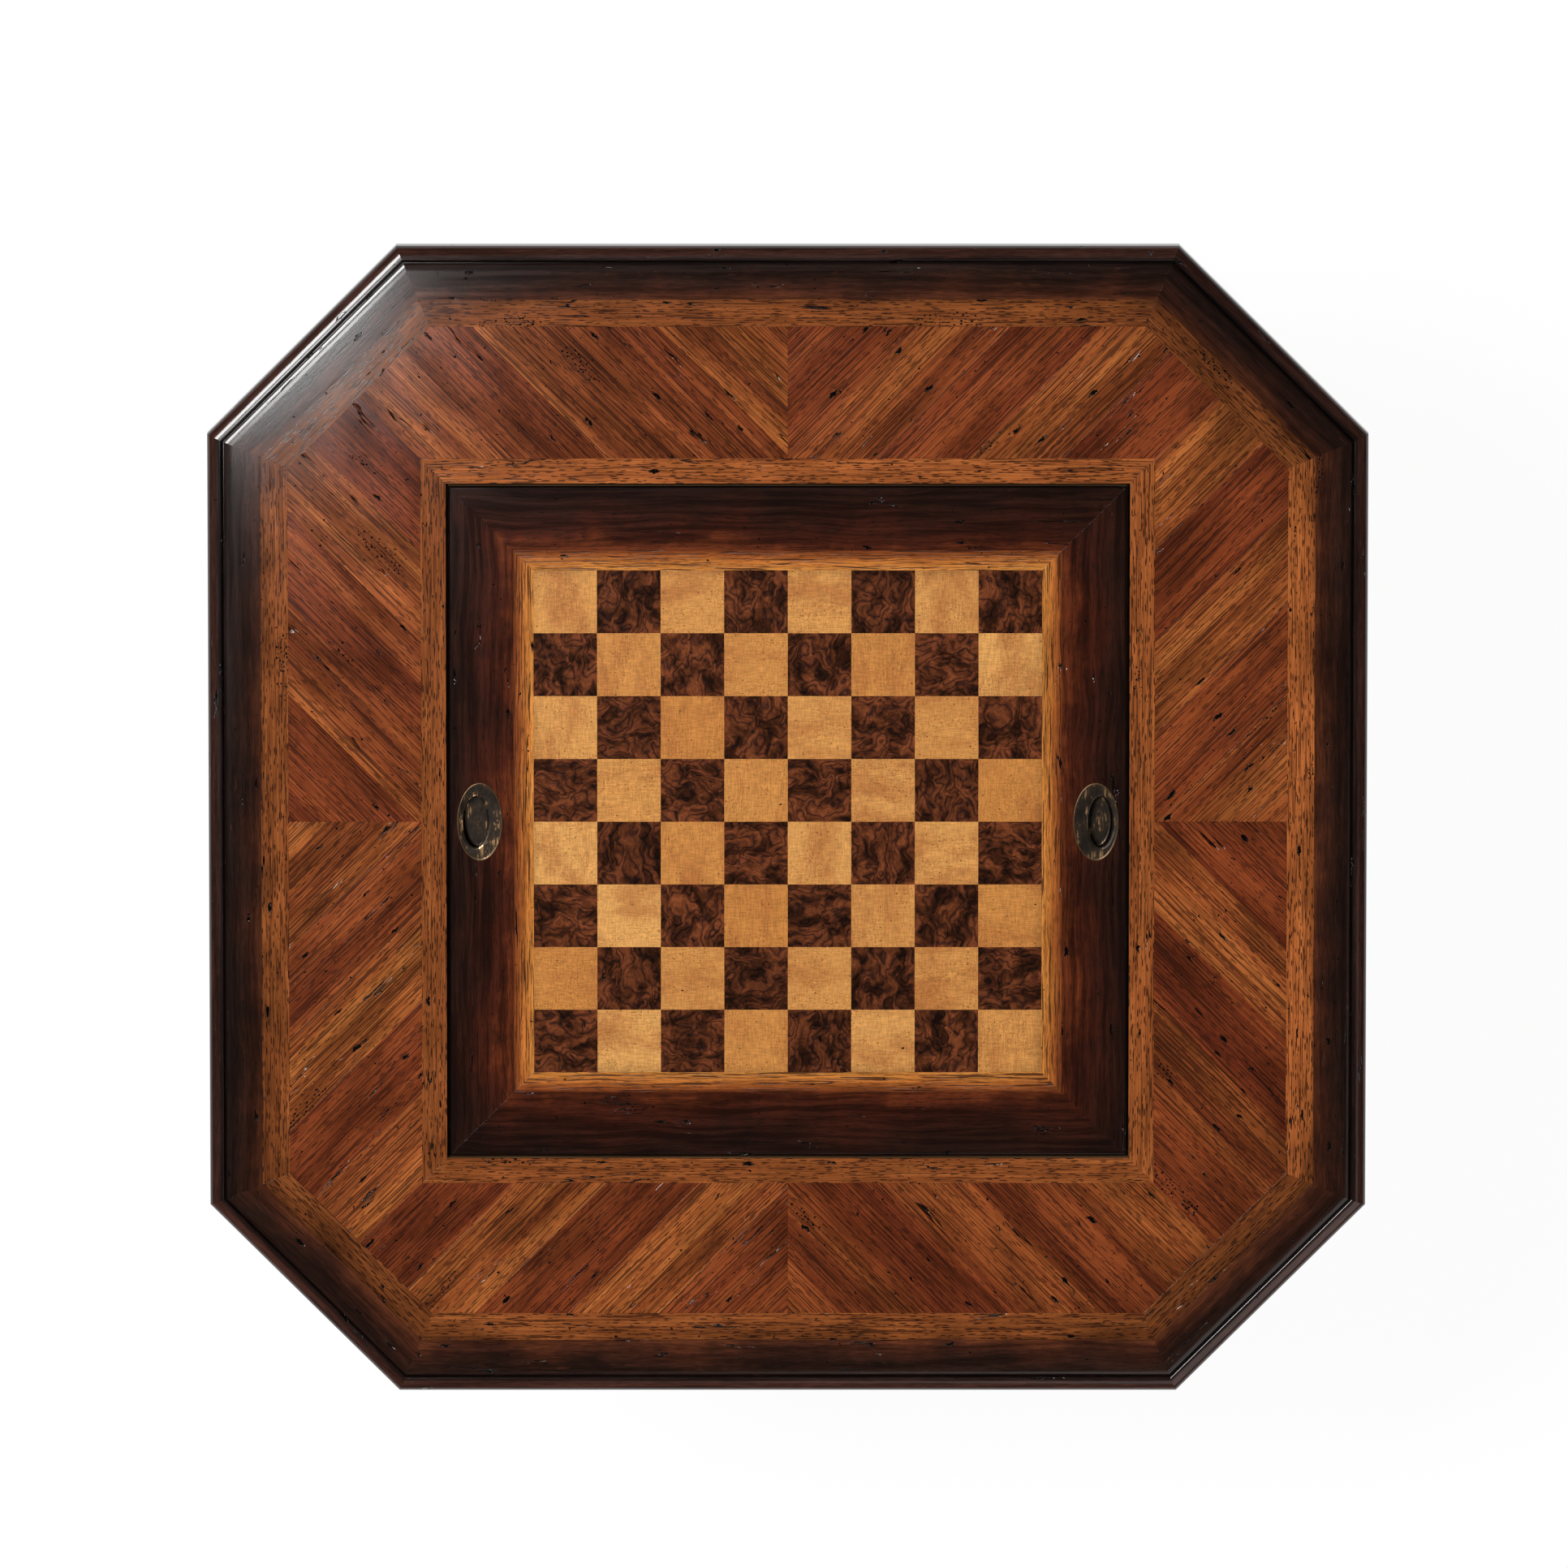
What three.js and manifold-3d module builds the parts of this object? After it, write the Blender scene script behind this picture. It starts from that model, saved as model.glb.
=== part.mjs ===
// A games table, in millimetres, +Z up, with its origin on the floor under the middle of the top.
// The square top has canted corners and a moulded edge. Its middle is a chessboard panel that lifts
// out by two flush pulls and uncovers a backgammon well. Four rails and four turned legs carry it.

import * as THREE from "three";
import { mergeVertices } from "three/addons/utils/BufferGeometryUtils.js";
import Module from "manifold-3d";

const wasm = await Module();
wasm.setup();

// Chessboard panel
const squareSize = 57;
const squaresAcross = 8;
const boardBandingWidth = 18;
const boardBorderWidth = 58;
const boardThickness = 20;
const boardFaceThickness = 3;
const squareVeneerThickness = 2;
const boardBackingThickness = 1;
const boardGap = 2.5; // clearance all round the panel in its opening
const squareNeck = 0.6; // keeps the corners of neighbouring pale squares together
const squareClearance = 0.15;

// Flush pulls of the panel
const pullEdgeDistance = 7; // from the plate to the edge of the panel
const pullWidth = 41;
const pullLength = 71;
const pullPlateThickness = 1.8;
const pullProud = 0.8; // how far the plate stands over the wood
const pullRimBevel = 0.7;
const pullMouthWidth = 22;
const pullMouthLength = 46;
const pullCupWidth = 26;
const pullCupLength = 50;
const pullCupDepth = 10; // from the wood's surface to the floor of the cup
const pullCupWall = 1.2;
const pullMouthShift = 4; // mouth and cup sit towards the panel's edge
const pullCupShift = 2;
const pullSeatClearance = 0.15;
const ovalSides = 36;

// Table top
const tableHeight = 762;
const innerBandingWidth = 22.5;
const fieldWidth = 119;
const outerBandingWidth = 24.5;
const mouldingWidth = 47.5;
const cornerCut = 170; // length that the canted corner takes off each side
const topThickness = 34;
const veneerThickness = 2;

// Edge moulding, from the top down
const easedWidth = 9; // the flat of the top rolls gently over before the quirk
const easedDrop = 1.2;
const thumbWidth = 15.5;
const thumbCrownInset = 9.5; // from the outer face in to the highest line of the thumb
const thumbSink = 1; // how far the crown lies below the flat of the top
const thumbHeight = 14;
const quirkDepth = 4;
const noseHeight = 6;
const underFillet = 2.5;
const mouldingArcSteps = 6;

// Backgammon well under the panel
const wellDepth = 60;
const wellWallThickness = 12;
const wellFloorThickness = 9;
const barWidth = 38;
const barHeight = 22;

// Frame under the top
const bearerHeight = 20;
const bearerWidth = 40;
const bearerSpacing = 300;
const railThickness = 22;
const railDrop = 20; // how far the rails reach below the bearers
const railReveal = 4; // how far the rails stand back from the corners of the legs
const beadRadius = 3.5;
const cornerBlockThickness = 26;
const cornerBlockHeight = 70;
const cornerBlockClearance = 12;
const glueLine = 0.3;

// Legs
const legWidth = 90;
const legBlockDrop = 20; // how far the square block reaches below the rails
const legSides = 20;
const bunHeight = 62;
const bunRadius = 42;
const bunBaseRadius = 28;
const ankleRadius = 22;
const ankleHeight = 6;
const lowerRingRadius = 31;
const lowerRingHeight = 13;
const bellyRadius = 38;
const neckRadius = 21;
const upperRingRadius = 32;
const upperRingHeight = 13;
const reelRadius = 25;
const reelHeight = 10;
const capRadius = 40;
const capHeight = 18;
const legOverlap = 5; // how far the turning runs up into its block
const bellyHeightShare = 0.74;
const lowerSwellShare = 0.45;
const upperSwellShare = 0.5;
const ringArcSteps = 4;
const bunArcSteps = 6;
const bellyCurveSteps = 5;

const cutterOverrun = 5;

// Plan sizes, worked out from the middle of the playing field outwards
const playHalf = (squareSize * squaresAcross) / 2;
const boardBandingHalf = playHalf + boardBandingWidth;
const boardHalf = boardBandingHalf + boardBorderWidth;
const openingHalf = boardHalf + boardGap;
const innerBandingHalf = openingHalf + innerBandingWidth;
const fieldHalf = innerBandingHalf + fieldWidth;
const topHalf = fieldHalf + outerBandingWidth + mouldingWidth;
const fieldInset = outerBandingWidth + mouldingWidth;
const pullCentre = boardHalf - pullEdgeDistance - pullWidth / 2;
const wellHalf = openingHalf - wellWallThickness;

// Heights
const veneerUnderside = tableHeight - veneerThickness;
const topUnderside = tableHeight - topThickness;
const ledgeLevel = tableHeight - boardThickness;
const boardBackingTop = ledgeLevel + boardBackingThickness;
const boardFaceUnderside = tableHeight - boardFaceThickness;
const squareUnderside = tableHeight - squareVeneerThickness;
const wellFloorTop = ledgeLevel - wellDepth;
const wellFloorUnderside = wellFloorTop - wellFloorThickness;
const bearerUnderside = wellFloorUnderside - bearerHeight;
const railUnderside = bearerUnderside - railDrop;
const legBlockUnderside = railUnderside - legBlockDrop;
const frameTop = topUnderside - glueLine;

// The legs stand cornerwise, behind the canted corners and just outside the corners of the well.
const legInnerDistance = openingHalf * Math.SQRT2 + cornerBlockClearance + cornerBlockThickness + glueLine;
const legCentreDistance = legInnerDistance + legWidth / 2;
const legCentre = legCentreDistance / Math.SQRT2;
const legCornerHalf = legCentre + legWidth / Math.SQRT2; // upright plane through two legs' outer corners
const railInnerHalf = legCornerHalf - railReveal - railThickness;

const darkWood = { color: 0x3b221b, roughness: 0.42, metalness: 0 };
const walnut = { color: 0x6e3f26, roughness: 0.45, metalness: 0 };
const oak = { color: 0x8c5731, roughness: 0.5, metalness: 0 };
const maple = { color: 0xd6a562, roughness: 0.45, metalness: 0 };
const burl = { color: 0x4a2718, roughness: 0.4, metalness: 0 };
const baseWood = { color: 0x33201a, roughness: 0.45, metalness: 0 };
const plainWood = { color: 0x9c7a52, roughness: 0.7, metalness: 0 };
const brass = { color: 0x4f4538, roughness: 0.45, metalness: 0.9 };

const sides = ["front", "right", "back", "left"];
const edges = ["front", "front_right", "right", "back_right", "back", "back_left", "left", "front_left"];

const table = new THREE.Group();

function add(name, geometry, finish) {
  const mesh = new THREE.Mesh(geometry, new THREE.MeshStandardMaterial({ ...finish, flatShading: true }));
  mesh.name = name;
  table.add(mesh);
}

// A plan point turned about the middle of the table by a number of quarter turns.
function quarterTurn([x, y], turns) {
  let point = [x, y];
  for (let i = 0; i < turns; i++) point = [-point[1], point[0]];
  return point;
}

// Corner k of the top's outline moved in by inset, anticlockwise from the right end of the front.
function cantedCorner(k, inset) {
  const far = topHalf - inset;
  const near = topHalf - cornerCut - inset * Math.tan(Math.PI / 8);
  return quarterTurn(k % 2 ? [far, -near] : [near, -far], Math.floor(k / 2));
}

// Corner k of a square outline moved in by inset, anticlockwise from the front right.
function squareCorner(k, half, inset) {
  return quarterTurn([half - inset, inset - half], k);
}

// A closed solid through rings of equally many points. The flat outline says how its ends are filled.
function loft(rings, flatOutline) {
  const count = flatOutline.length;
  const last = (rings.length - 1) * count;
  const positions = rings.flat().flat();
  const faces = [];
  for (let ring = 0; ring < rings.length - 1; ring++) {
    for (let i = 0; i < count; i++) {
      const a = ring * count + i;
      const b = ring * count + ((i + 1) % count);
      faces.push([a, b, b + count], [a, b + count, a + count]);
    }
  }
  for (const [a, b, c] of THREE.ShapeUtils.triangulateShape(flatOutline, [])) {
    faces.push([c, b, a], [a + last, b + last, c + last]);
  }
  const corner = (i) => new THREE.Vector3(...positions.slice(i * 3, i * 3 + 3));
  const volume = faces.reduce((sum, [a, b, c]) => sum + corner(a).dot(corner(b).cross(corner(c))), 0);
  const geometry = new THREE.BufferGeometry();
  geometry.setAttribute("position", new THREE.Float32BufferAttribute(positions, 3));
  geometry.setIndex(faces.flatMap(([a, b, c]) => (volume < 0 ? [a, c, b] : [a, b, c])));
  return geometry;
}

// A length of moulding. Its profile is drawn as [inset, height], and each end follows the inset.
function mitredLength(profile, startAt, endAt) {
  const endRing = (at) => profile.map(({ x, y }) => [...at(x), y]);
  return loft([endRing(startAt), endRing(endAt)], profile);
}

function rectangleProfile(width, bottom, top) {
  return [
    new THREE.Vector2(0, bottom),
    new THREE.Vector2(width, bottom),
    new THREE.Vector2(width, top),
    new THREE.Vector2(0, top),
  ];
}

// A flat plate with this plan outline between two heights.
function plate(outline, bottom, top, holes = []) {
  const toPoints = (points) => points.map(([x, y]) => new THREE.Vector2(x, y));
  const shape = new THREE.Shape(toPoints(outline));
  shape.holes = holes.map((hole) => new THREE.Path(toPoints(hole)));
  const geometry = new THREE.ExtrudeGeometry(shape, { depth: 1, bevelEnabled: false });
  const position = geometry.getAttribute("position");
  for (let i = 0; i < position.count; i++) position.setZ(i, position.getZ(i) > 0 ? top : bottom);
  return geometry;
}

function squareOutline(half, [x, y] = [0, 0]) {
  return [0, 1, 2, 3].map((k) => squareCorner(k, half, 0)).map(([dx, dy]) => [x + dx, y + dy]);
}

// A solid of oval sections, each given as [width, length, height], round the plan point x, 0.
function ovalSolid(sections, x) {
  const unit = new THREE.EllipseCurve(0, 0, 1, 1).getPoints(ovalSides).slice(0, ovalSides);
  const rings = sections.map(([width, length, height]) =>
    unit.map((point) => [x + (point.x * width) / 2, (point.y * length) / 2, height]),
  );
  return loft(rings, unit);
}

function toSolid(geometry) {
  const bare = new THREE.BufferGeometry();
  bare.setAttribute("position", geometry.getAttribute("position"));
  bare.setIndex(geometry.getIndex());
  const merged = mergeVertices(bare);
  return new wasm.Manifold(
    new wasm.Mesh({
      numProp: 3,
      vertProperties: merged.getAttribute("position").array,
      triVerts: new Uint32Array(merged.getIndex().array),
    }),
  );
}

function toGeometry(solid) {
  const mesh = solid.getMesh();
  const geometry = new THREE.BufferGeometry();
  geometry.setAttribute("position", new THREE.Float32BufferAttribute(mesh.vertProperties, 3));
  geometry.setIndex(new THREE.Uint32BufferAttribute(mesh.triVerts, 1));
  return geometry;
}

function cut(geometry, ...cutters) {
  return toGeometry(cutters.reduce((solid, cutter) => solid.subtract(toSolid(cutter)), toSolid(geometry)));
}

function join(...geometries) {
  return toGeometry(geometries.map(toSolid).reduce((joined, solid) => joined.add(solid)));
}

// Four mitred strips round a square, outermost edge at half.
function addSquareFrame(name, half, width, bottom, top, finish, shapeSide = (geometry) => geometry) {
  const profile = rectangleProfile(width, bottom, top);
  sides.forEach((side, k) => {
    const strip = mitredLength(
      profile,
      (inset) => squareCorner((k + 3) % 4, half, inset),
      (inset) => squareCorner(k, half, inset),
    );
    add(`${name}_${side}`, shapeSide(strip, side), finish);
  });
}

// Eight mitred strips round the canted outline. The profile's insets start at firstInset.
function addCantedFrame(name, firstInset, profile, finish) {
  edges.forEach((edge, k) => {
    const strip = mitredLength(
      profile,
      (inset) => cantedCorner((k + 7) % 8, firstInset + inset),
      (inset) => cantedCorner(k, firstInset + inset),
    );
    add(`${name}_${edge}`, strip, finish);
  });
}

// Thumb moulding: flat top with an eased edge, a quirk, a rounded thumb, an upright nose and a cove.
function edgeProfile() {
  const thumbTop = tableHeight - thumbSink;
  const thumbFoot = thumbTop - thumbHeight;
  const quirkFoot = tableHeight - quirkDepth;
  const noseFoot = thumbFoot - noseHeight;
  const coveRadius = noseFoot - topUnderside;
  const path = new THREE.Path();
  const easedInset = thumbWidth + easedWidth;
  const rollWidth = thumbWidth - thumbCrownInset;
  path.moveTo(mouldingWidth, tableHeight);
  path.absellipse(easedInset, tableHeight - easedDrop, easedWidth, easedDrop, Math.PI / 2, Math.PI, false);
  path.lineTo(thumbWidth, quirkFoot);
  path.absellipse(thumbCrownInset, quirkFoot, rollWidth, thumbTop - quirkFoot, 0, Math.PI / 2, false);
  path.absellipse(thumbCrownInset, thumbFoot, thumbCrownInset, thumbHeight, Math.PI / 2, Math.PI, false);
  path.lineTo(0, noseFoot);
  path.lineTo(underFillet, noseFoot);
  path.absellipse(underFillet, topUnderside, coveRadius, coveRadius, Math.PI / 2, 0, true);
  path.lineTo(mouldingWidth, topUnderside);
  return tidyProfile(path.getPoints(mouldingArcSteps));
}

// Leaves out a point that repeats the one before it.
function tidyProfile(points) {
  return points.filter((point, i) => i === 0 || !point.equals(points[i - 1]));
}

function addTop() {
  add(
    "top_core",
    plate(
      edges.map((edge, k) => cantedCorner(k, mouldingWidth)),
      topUnderside,
      veneerUnderside,
      [squareOutline(openingHalf)],
    ),
    plainWood,
  );
  addCantedFrame("edge_moulding", 0, edgeProfile(), darkWood);
  const banding = rectangleProfile(outerBandingWidth, veneerUnderside, tableHeight);
  addCantedFrame("outer_banding", mouldingWidth, banding, oak);
  addSquareFrame("inner_banding", innerBandingHalf, innerBandingWidth, veneerUnderside, tableHeight, oak);

  // Each quarter of the field runs round one corner, from the middle of one side to the middle of the next.
  ["front_right", "back_right", "back_left", "front_left"].forEach((corner, k) => {
    const quarter = [
      quarterTurn([0, -fieldHalf], k),
      cantedCorner(2 * k, fieldInset),
      cantedCorner(2 * k + 1, fieldInset),
      quarterTurn([fieldHalf, 0], k),
      quarterTurn([innerBandingHalf, 0], k),
      squareCorner(k, innerBandingHalf, 0),
      quarterTurn([0, -innerBandingHalf], k),
    ];
    add(`field_veneer_${corner}`, plate(quarter, veneerUnderside, tableHeight), walnut);
  });
}

// The space that a pull takes up in the wood, on the side of the panel that sign says.
function pullSeats(sign) {
  const grow = 2 * pullSeatClearance;
  const plateBottom = tableHeight + pullProud - pullPlateThickness - pullSeatClearance;
  const cupBottom = tableHeight - pullCupDepth - pullCupWall - pullSeatClearance;
  const outerWall = 2 * pullCupWall + grow;
  const seatTop = tableHeight + cutterOverrun;
  return [
    ovalSolid(
      [
        [pullWidth + grow, pullLength + grow, plateBottom],
        [pullWidth + grow, pullLength + grow, seatTop],
      ],
      sign * pullCentre,
    ),
    ovalSolid(
      [
        [pullCupWidth + outerWall, pullCupLength + outerWall, cupBottom],
        [pullCupWidth + outerWall, pullCupLength + outerWall, seatTop],
      ],
      sign * (pullCentre + pullCupShift),
    ),
  ];
}

// An oval plate over a cup. The mouth is narrower than the cup, so a finger hooks under its inner lip.
function pull(sign) {
  const plateTop = tableHeight + pullProud;
  const plateBottom = plateTop - pullPlateThickness;
  const cupFloor = tableHeight - pullCupDepth;
  const cupX = sign * (pullCentre + pullCupShift);
  const cupOuterWidth = pullCupWidth + 2 * pullCupWall;
  const cupOuterLength = pullCupLength + 2 * pullCupWall;
  const cupTop = plateTop - pullRimBevel;
  const face = ovalSolid(
    [
      [pullWidth, pullLength, plateBottom],
      [pullWidth, pullLength, plateTop - pullRimBevel],
      [pullWidth - 2 * pullRimBevel, pullLength - 2 * pullRimBevel, plateTop],
    ],
    sign * pullCentre,
  );
  const cup = ovalSolid(
    [
      [cupOuterWidth, cupOuterLength, cupFloor - pullCupWall],
      [cupOuterWidth, cupOuterLength, cupTop],
    ],
    cupX,
  );
  const hollow = ovalSolid(
    [
      [pullCupWidth, pullCupLength, cupFloor],
      [pullCupWidth, pullCupLength, plateBottom],
    ],
    cupX,
  );
  const mouth = ovalSolid(
    [
      [pullMouthWidth, pullMouthLength, cupFloor],
      [pullMouthWidth, pullMouthLength, plateTop + cutterOverrun],
    ],
    sign * (pullCentre + pullMouthShift),
  );
  return cut(join(face, cup), hollow, mouth);
}

// The middles of the dark squares. The near corner on the left is a dark square.
function darkSquareCentres() {
  const centres = [];
  for (let rank = 0; rank < squaresAcross; rank++) {
    for (let file = rank % 2; file < squaresAcross; file += 2) {
      centres.push([(file + 1 / 2) * squareSize - playHalf, (rank + 1 / 2) * squareSize - playHalf]);
    }
  }
  return centres;
}

function addBoard() {
  const core = plate(squareOutline(boardHalf), boardBackingTop, boardFaceUnderside);
  add("board_core", cut(core, ...pullSeats(-1), ...pullSeats(1)), plainWood);
  add("board_backing", plate(squareOutline(boardHalf), ledgeLevel, boardBackingTop), walnut);
  addSquareFrame(
    "board_border",
    boardHalf,
    boardBorderWidth,
    boardFaceUnderside,
    tableHeight,
    darkWood,
    (strip, side) => {
      if (side === "left") return cut(strip, ...pullSeats(-1));
      if (side === "right") return cut(strip, ...pullSeats(1));
      return strip;
    },
  );
  addSquareFrame("board_banding", boardBandingHalf, boardBandingWidth, boardFaceUnderside, tableHeight, oak);

  // The pale squares are one sheet with windows. The dark ones are pads on a thin sheet below it.
  const windowHalf = (squareSize - squareNeck) / 2;
  const padHalf = windowHalf - squareClearance;
  const centres = darkSquareCentres();
  const windowBottom = squareUnderside - cutterOverrun;
  const windowTop = tableHeight + cutterOverrun;
  const windows = centres.map((centre) => plate(squareOutline(windowHalf, centre), windowBottom, windowTop));
  add("light_squares", cut(plate(squareOutline(playHalf), squareUnderside, tableHeight), ...windows), maple);
  const sheet = plate(squareOutline(playHalf), boardFaceUnderside, squareUnderside);
  const pad = (centre) => plate(squareOutline(padHalf, centre), boardFaceUnderside, tableHeight);
  add("dark_squares", join(sheet, ...centres.map(pad)), burl);

  add("left_pull", pull(-1), brass);
  add("right_pull", pull(1), brass);
}

function addWell() {
  add("well_floor", plate(squareOutline(openingHalf), wellFloorUnderside, wellFloorTop), walnut);
  addSquareFrame("well_wall", openingHalf, wellWallThickness, wellFloorTop, ledgeLevel, darkWood);
  const barHalf = barWidth / 2;
  const barEnd = wellHalf - glueLine;
  const barOutline = [
    [-barHalf, -barEnd],
    [barHalf, -barEnd],
    [barHalf, barEnd],
    [-barHalf, barEnd],
  ];
  add("well_bar", plate(barOutline, wellFloorTop, wellFloorTop + barHeight), darkWood);
}

// Rail section, from its outer top corner, with a bead along its lower outer edge.
function railProfile() {
  const outer = railReveal;
  const inner = railReveal + railThickness;
  const path = new THREE.Path();
  path.moveTo(outer, frameTop);
  path.lineTo(outer, railUnderside + 2 * beadRadius);
  path.absarc(outer, railUnderside + beadRadius, beadRadius, Math.PI / 2, (Math.PI * 3) / 2, false);
  path.lineTo(inner, railUnderside);
  path.lineTo(inner, frameTop);
  return tidyProfile(path.getPoints(mouldingArcSteps));
}

function addFrame() {
  const profile = railProfile();
  const endCut = legWidth / Math.SQRT2 + glueLine * Math.SQRT2;
  sides.forEach((side, k) => {
    const startAt = (inset) => quarterTurn([endCut + inset - legCornerHalf, inset - legCornerHalf], k);
    const endAt = (inset) => quarterTurn([legCornerHalf - inset - endCut, inset - legCornerHalf], k);
    add(`rail_${side}`, mitredLength(profile, startAt, endAt), baseWood);
  });

  const bearerEnd = railInnerHalf - glueLine;
  [-1, 1].forEach((sign) => {
    const middle = (sign * bearerSpacing) / 2;
    const outline = [
      [-bearerEnd, middle - bearerWidth / 2],
      [bearerEnd, middle - bearerWidth / 2],
      [bearerEnd, middle + bearerWidth / 2],
      [-bearerEnd, middle + bearerWidth / 2],
    ];
    const name = sign < 0 ? "well_bearer_front" : "well_bearer_back";
    add(name, plate(outline, bearerUnderside, wellFloorUnderside), plainWood);
  });

  // A block across each corner, behind the leg and between the two rails.
  const blockEnd = railInnerHalf - glueLine;
  const blockOuterSum = (legInnerDistance - glueLine) * Math.SQRT2;
  const blockInnerSum = blockOuterSum - (cornerBlockThickness - glueLine) * Math.SQRT2;
  ["front_right", "back_right", "back_left", "front_left"].forEach((corner, k) => {
    const outline = [
      [blockOuterSum - blockEnd, -blockEnd],
      [blockEnd, blockEnd - blockOuterSum],
      [blockEnd, blockEnd - blockInnerSum],
      [blockInnerSum - blockEnd, -blockEnd],
    ].map((point) => quarterTurn(point, k));
    add(`corner_block_${corner}`, plate(outline, frameTop - cornerBlockHeight, frameTop), plainWood);
  });
}

// Half-round ring of the turning, starting and ending on the radius under it.
function turnRing(path, underRadius, ringRadius, bottom, height) {
  const reach = ringRadius - underRadius;
  path.absellipse(underRadius, bottom + height / 2, reach, height / 2, -Math.PI / 2, Math.PI / 2, false);
}

// One leg: bun foot, ankle, ring, long baluster, ring, reel and cap under a square block.
function leg() {
  const ankleTop = bunHeight + ankleHeight;
  const lowerRingTop = ankleTop + lowerRingHeight;
  const capBottom = legBlockUnderside - capHeight;
  const reelBottom = capBottom - reelHeight;
  const upperRingBottom = reelBottom - upperRingHeight;
  const balusterHeight = upperRingBottom - lowerRingTop;
  const bellyLevel = lowerRingTop + balusterHeight * bellyHeightShare;
  const belowBelly = bellyLevel - lowerRingTop;
  const aboveBelly = upperRingBottom - bellyLevel;

  const foot = new THREE.Path();
  foot.moveTo(0, 0);
  foot.lineTo(bunBaseRadius, 0);
  turnRing(foot, bunBaseRadius, bunRadius, 0, bunHeight);
  const ankle = new THREE.Path();
  ankle.moveTo(ankleRadius, bunHeight);
  ankle.lineTo(ankleRadius, ankleTop);
  turnRing(ankle, ankleRadius, lowerRingRadius, ankleTop, lowerRingHeight);
  const baluster = new THREE.Path();
  baluster.moveTo(neckRadius, lowerRingTop);
  baluster.bezierCurveTo(
    neckRadius,
    lowerRingTop + belowBelly * lowerSwellShare,
    bellyRadius,
    bellyLevel - belowBelly * lowerSwellShare,
    bellyRadius,
    bellyLevel,
  );
  baluster.bezierCurveTo(
    bellyRadius,
    bellyLevel + aboveBelly * upperSwellShare,
    neckRadius,
    upperRingBottom - aboveBelly * upperSwellShare,
    neckRadius,
    upperRingBottom,
  );
  const head = new THREE.Path();
  head.moveTo(neckRadius, upperRingBottom);
  turnRing(head, neckRadius, upperRingRadius, upperRingBottom, upperRingHeight);
  head.lineTo(reelRadius, reelBottom);
  head.lineTo(reelRadius, capBottom);
  turnRing(head, reelRadius, capRadius, capBottom, capHeight);
  head.lineTo(reelRadius, legBlockUnderside + legOverlap);
  head.lineTo(0, legBlockUnderside + legOverlap);

  const profile = tidyProfile([
    ...foot.getPoints(bunArcSteps),
    ...ankle.getPoints(ringArcSteps),
    ...baluster.getPoints(bellyCurveSteps),
    ...head.getPoints(ringArcSteps),
  ]);
  const turning = new THREE.LatheGeometry(profile, legSides).rotateX(Math.PI / 2);
  const blockHeight = frameTop - legBlockUnderside;
  const block = new THREE.BoxGeometry(legWidth, legWidth, blockHeight)
    .rotateZ(Math.PI / 4)
    .translate(0, 0, legBlockUnderside + blockHeight / 2);
  return join(turning, block);
}

function addLegs() {
  const geometry = leg();
  ["front_right", "back_right", "back_left", "front_left"].forEach((corner, k) => {
    const standing = geometry.clone().translate(...quarterTurn([legCentre, -legCentre], k), 0);
    add(`leg_${corner}`, standing, baseWood);
  });
}

addTop();
addBoard();
addWell();
addFrame();
addLegs();

export default table;
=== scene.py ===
import math
import random

import bpy
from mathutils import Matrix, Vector


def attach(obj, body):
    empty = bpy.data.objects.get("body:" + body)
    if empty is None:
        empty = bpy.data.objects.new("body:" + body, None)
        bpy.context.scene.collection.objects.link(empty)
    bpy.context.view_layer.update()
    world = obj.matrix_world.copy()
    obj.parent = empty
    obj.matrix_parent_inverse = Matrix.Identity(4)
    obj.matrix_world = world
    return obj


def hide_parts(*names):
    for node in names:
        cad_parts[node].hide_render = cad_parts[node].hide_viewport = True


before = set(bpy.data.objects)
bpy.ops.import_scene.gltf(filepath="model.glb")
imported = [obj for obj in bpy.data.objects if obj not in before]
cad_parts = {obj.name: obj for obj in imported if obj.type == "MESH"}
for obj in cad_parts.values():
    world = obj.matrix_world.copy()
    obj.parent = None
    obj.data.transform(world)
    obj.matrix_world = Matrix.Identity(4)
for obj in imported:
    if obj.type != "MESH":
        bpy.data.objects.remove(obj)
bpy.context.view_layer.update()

scene = bpy.context.scene
chance = random.Random(64)
print("frame loaded")

# sizes shared by the pieces
top = {
    "half": 0.520, "cut": 0.170, "height": 0.762, "thickness": 0.034, "veneer": 0.002,
    "moulding": 0.0475, "outerBanding": 0.0245, "field": 0.119, "innerBanding": 0.0225,
    "ease": 0.00012,
}
board = {
    "half": 0.304, "thickness": 0.020, "face": 0.003, "border": 0.058, "banding": 0.018,
    "square": 0.057, "across": 8, "ease": 0.0001, "roundedEdge": 0.0022, "roundSteps": 6,
}
grip = {
    "centre": 0.2765, "width": 0.041, "length": 0.071, "under": 0.761, "proud": 0.0008,
    "mouthWidth": 0.022, "mouthLength": 0.046, "mouthShift": 0.004,
    "cupWidth": 0.026, "cupLength": 0.050, "cupShift": 0.002, "cupDepth": 0.010, "cupWall": 0.0012,
    "around": 72, "seatLap": 0.0002, "seatCut": 0.02,
}
eighth = math.pi / 8
quarter = math.pi / 4
slant = math.sqrt(0.5)
cantDistance = (2 * top["half"] - top["cut"]) * slant
fieldHalf = top["half"] - top["moulding"] - top["outerBanding"]
innerHalf = fieldHalf - top["field"]
openingHalf = innerHalf - top["innerBanding"]
bandingHalf = board["half"] - board["border"]

# camera
camera = {"lens": 460.6, "sensor": 36, "distance": 18.0, "clipEnd": 60,
          "lean": 8.8, "aim": (-0.0034, 0.0343, 0.762)}


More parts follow.
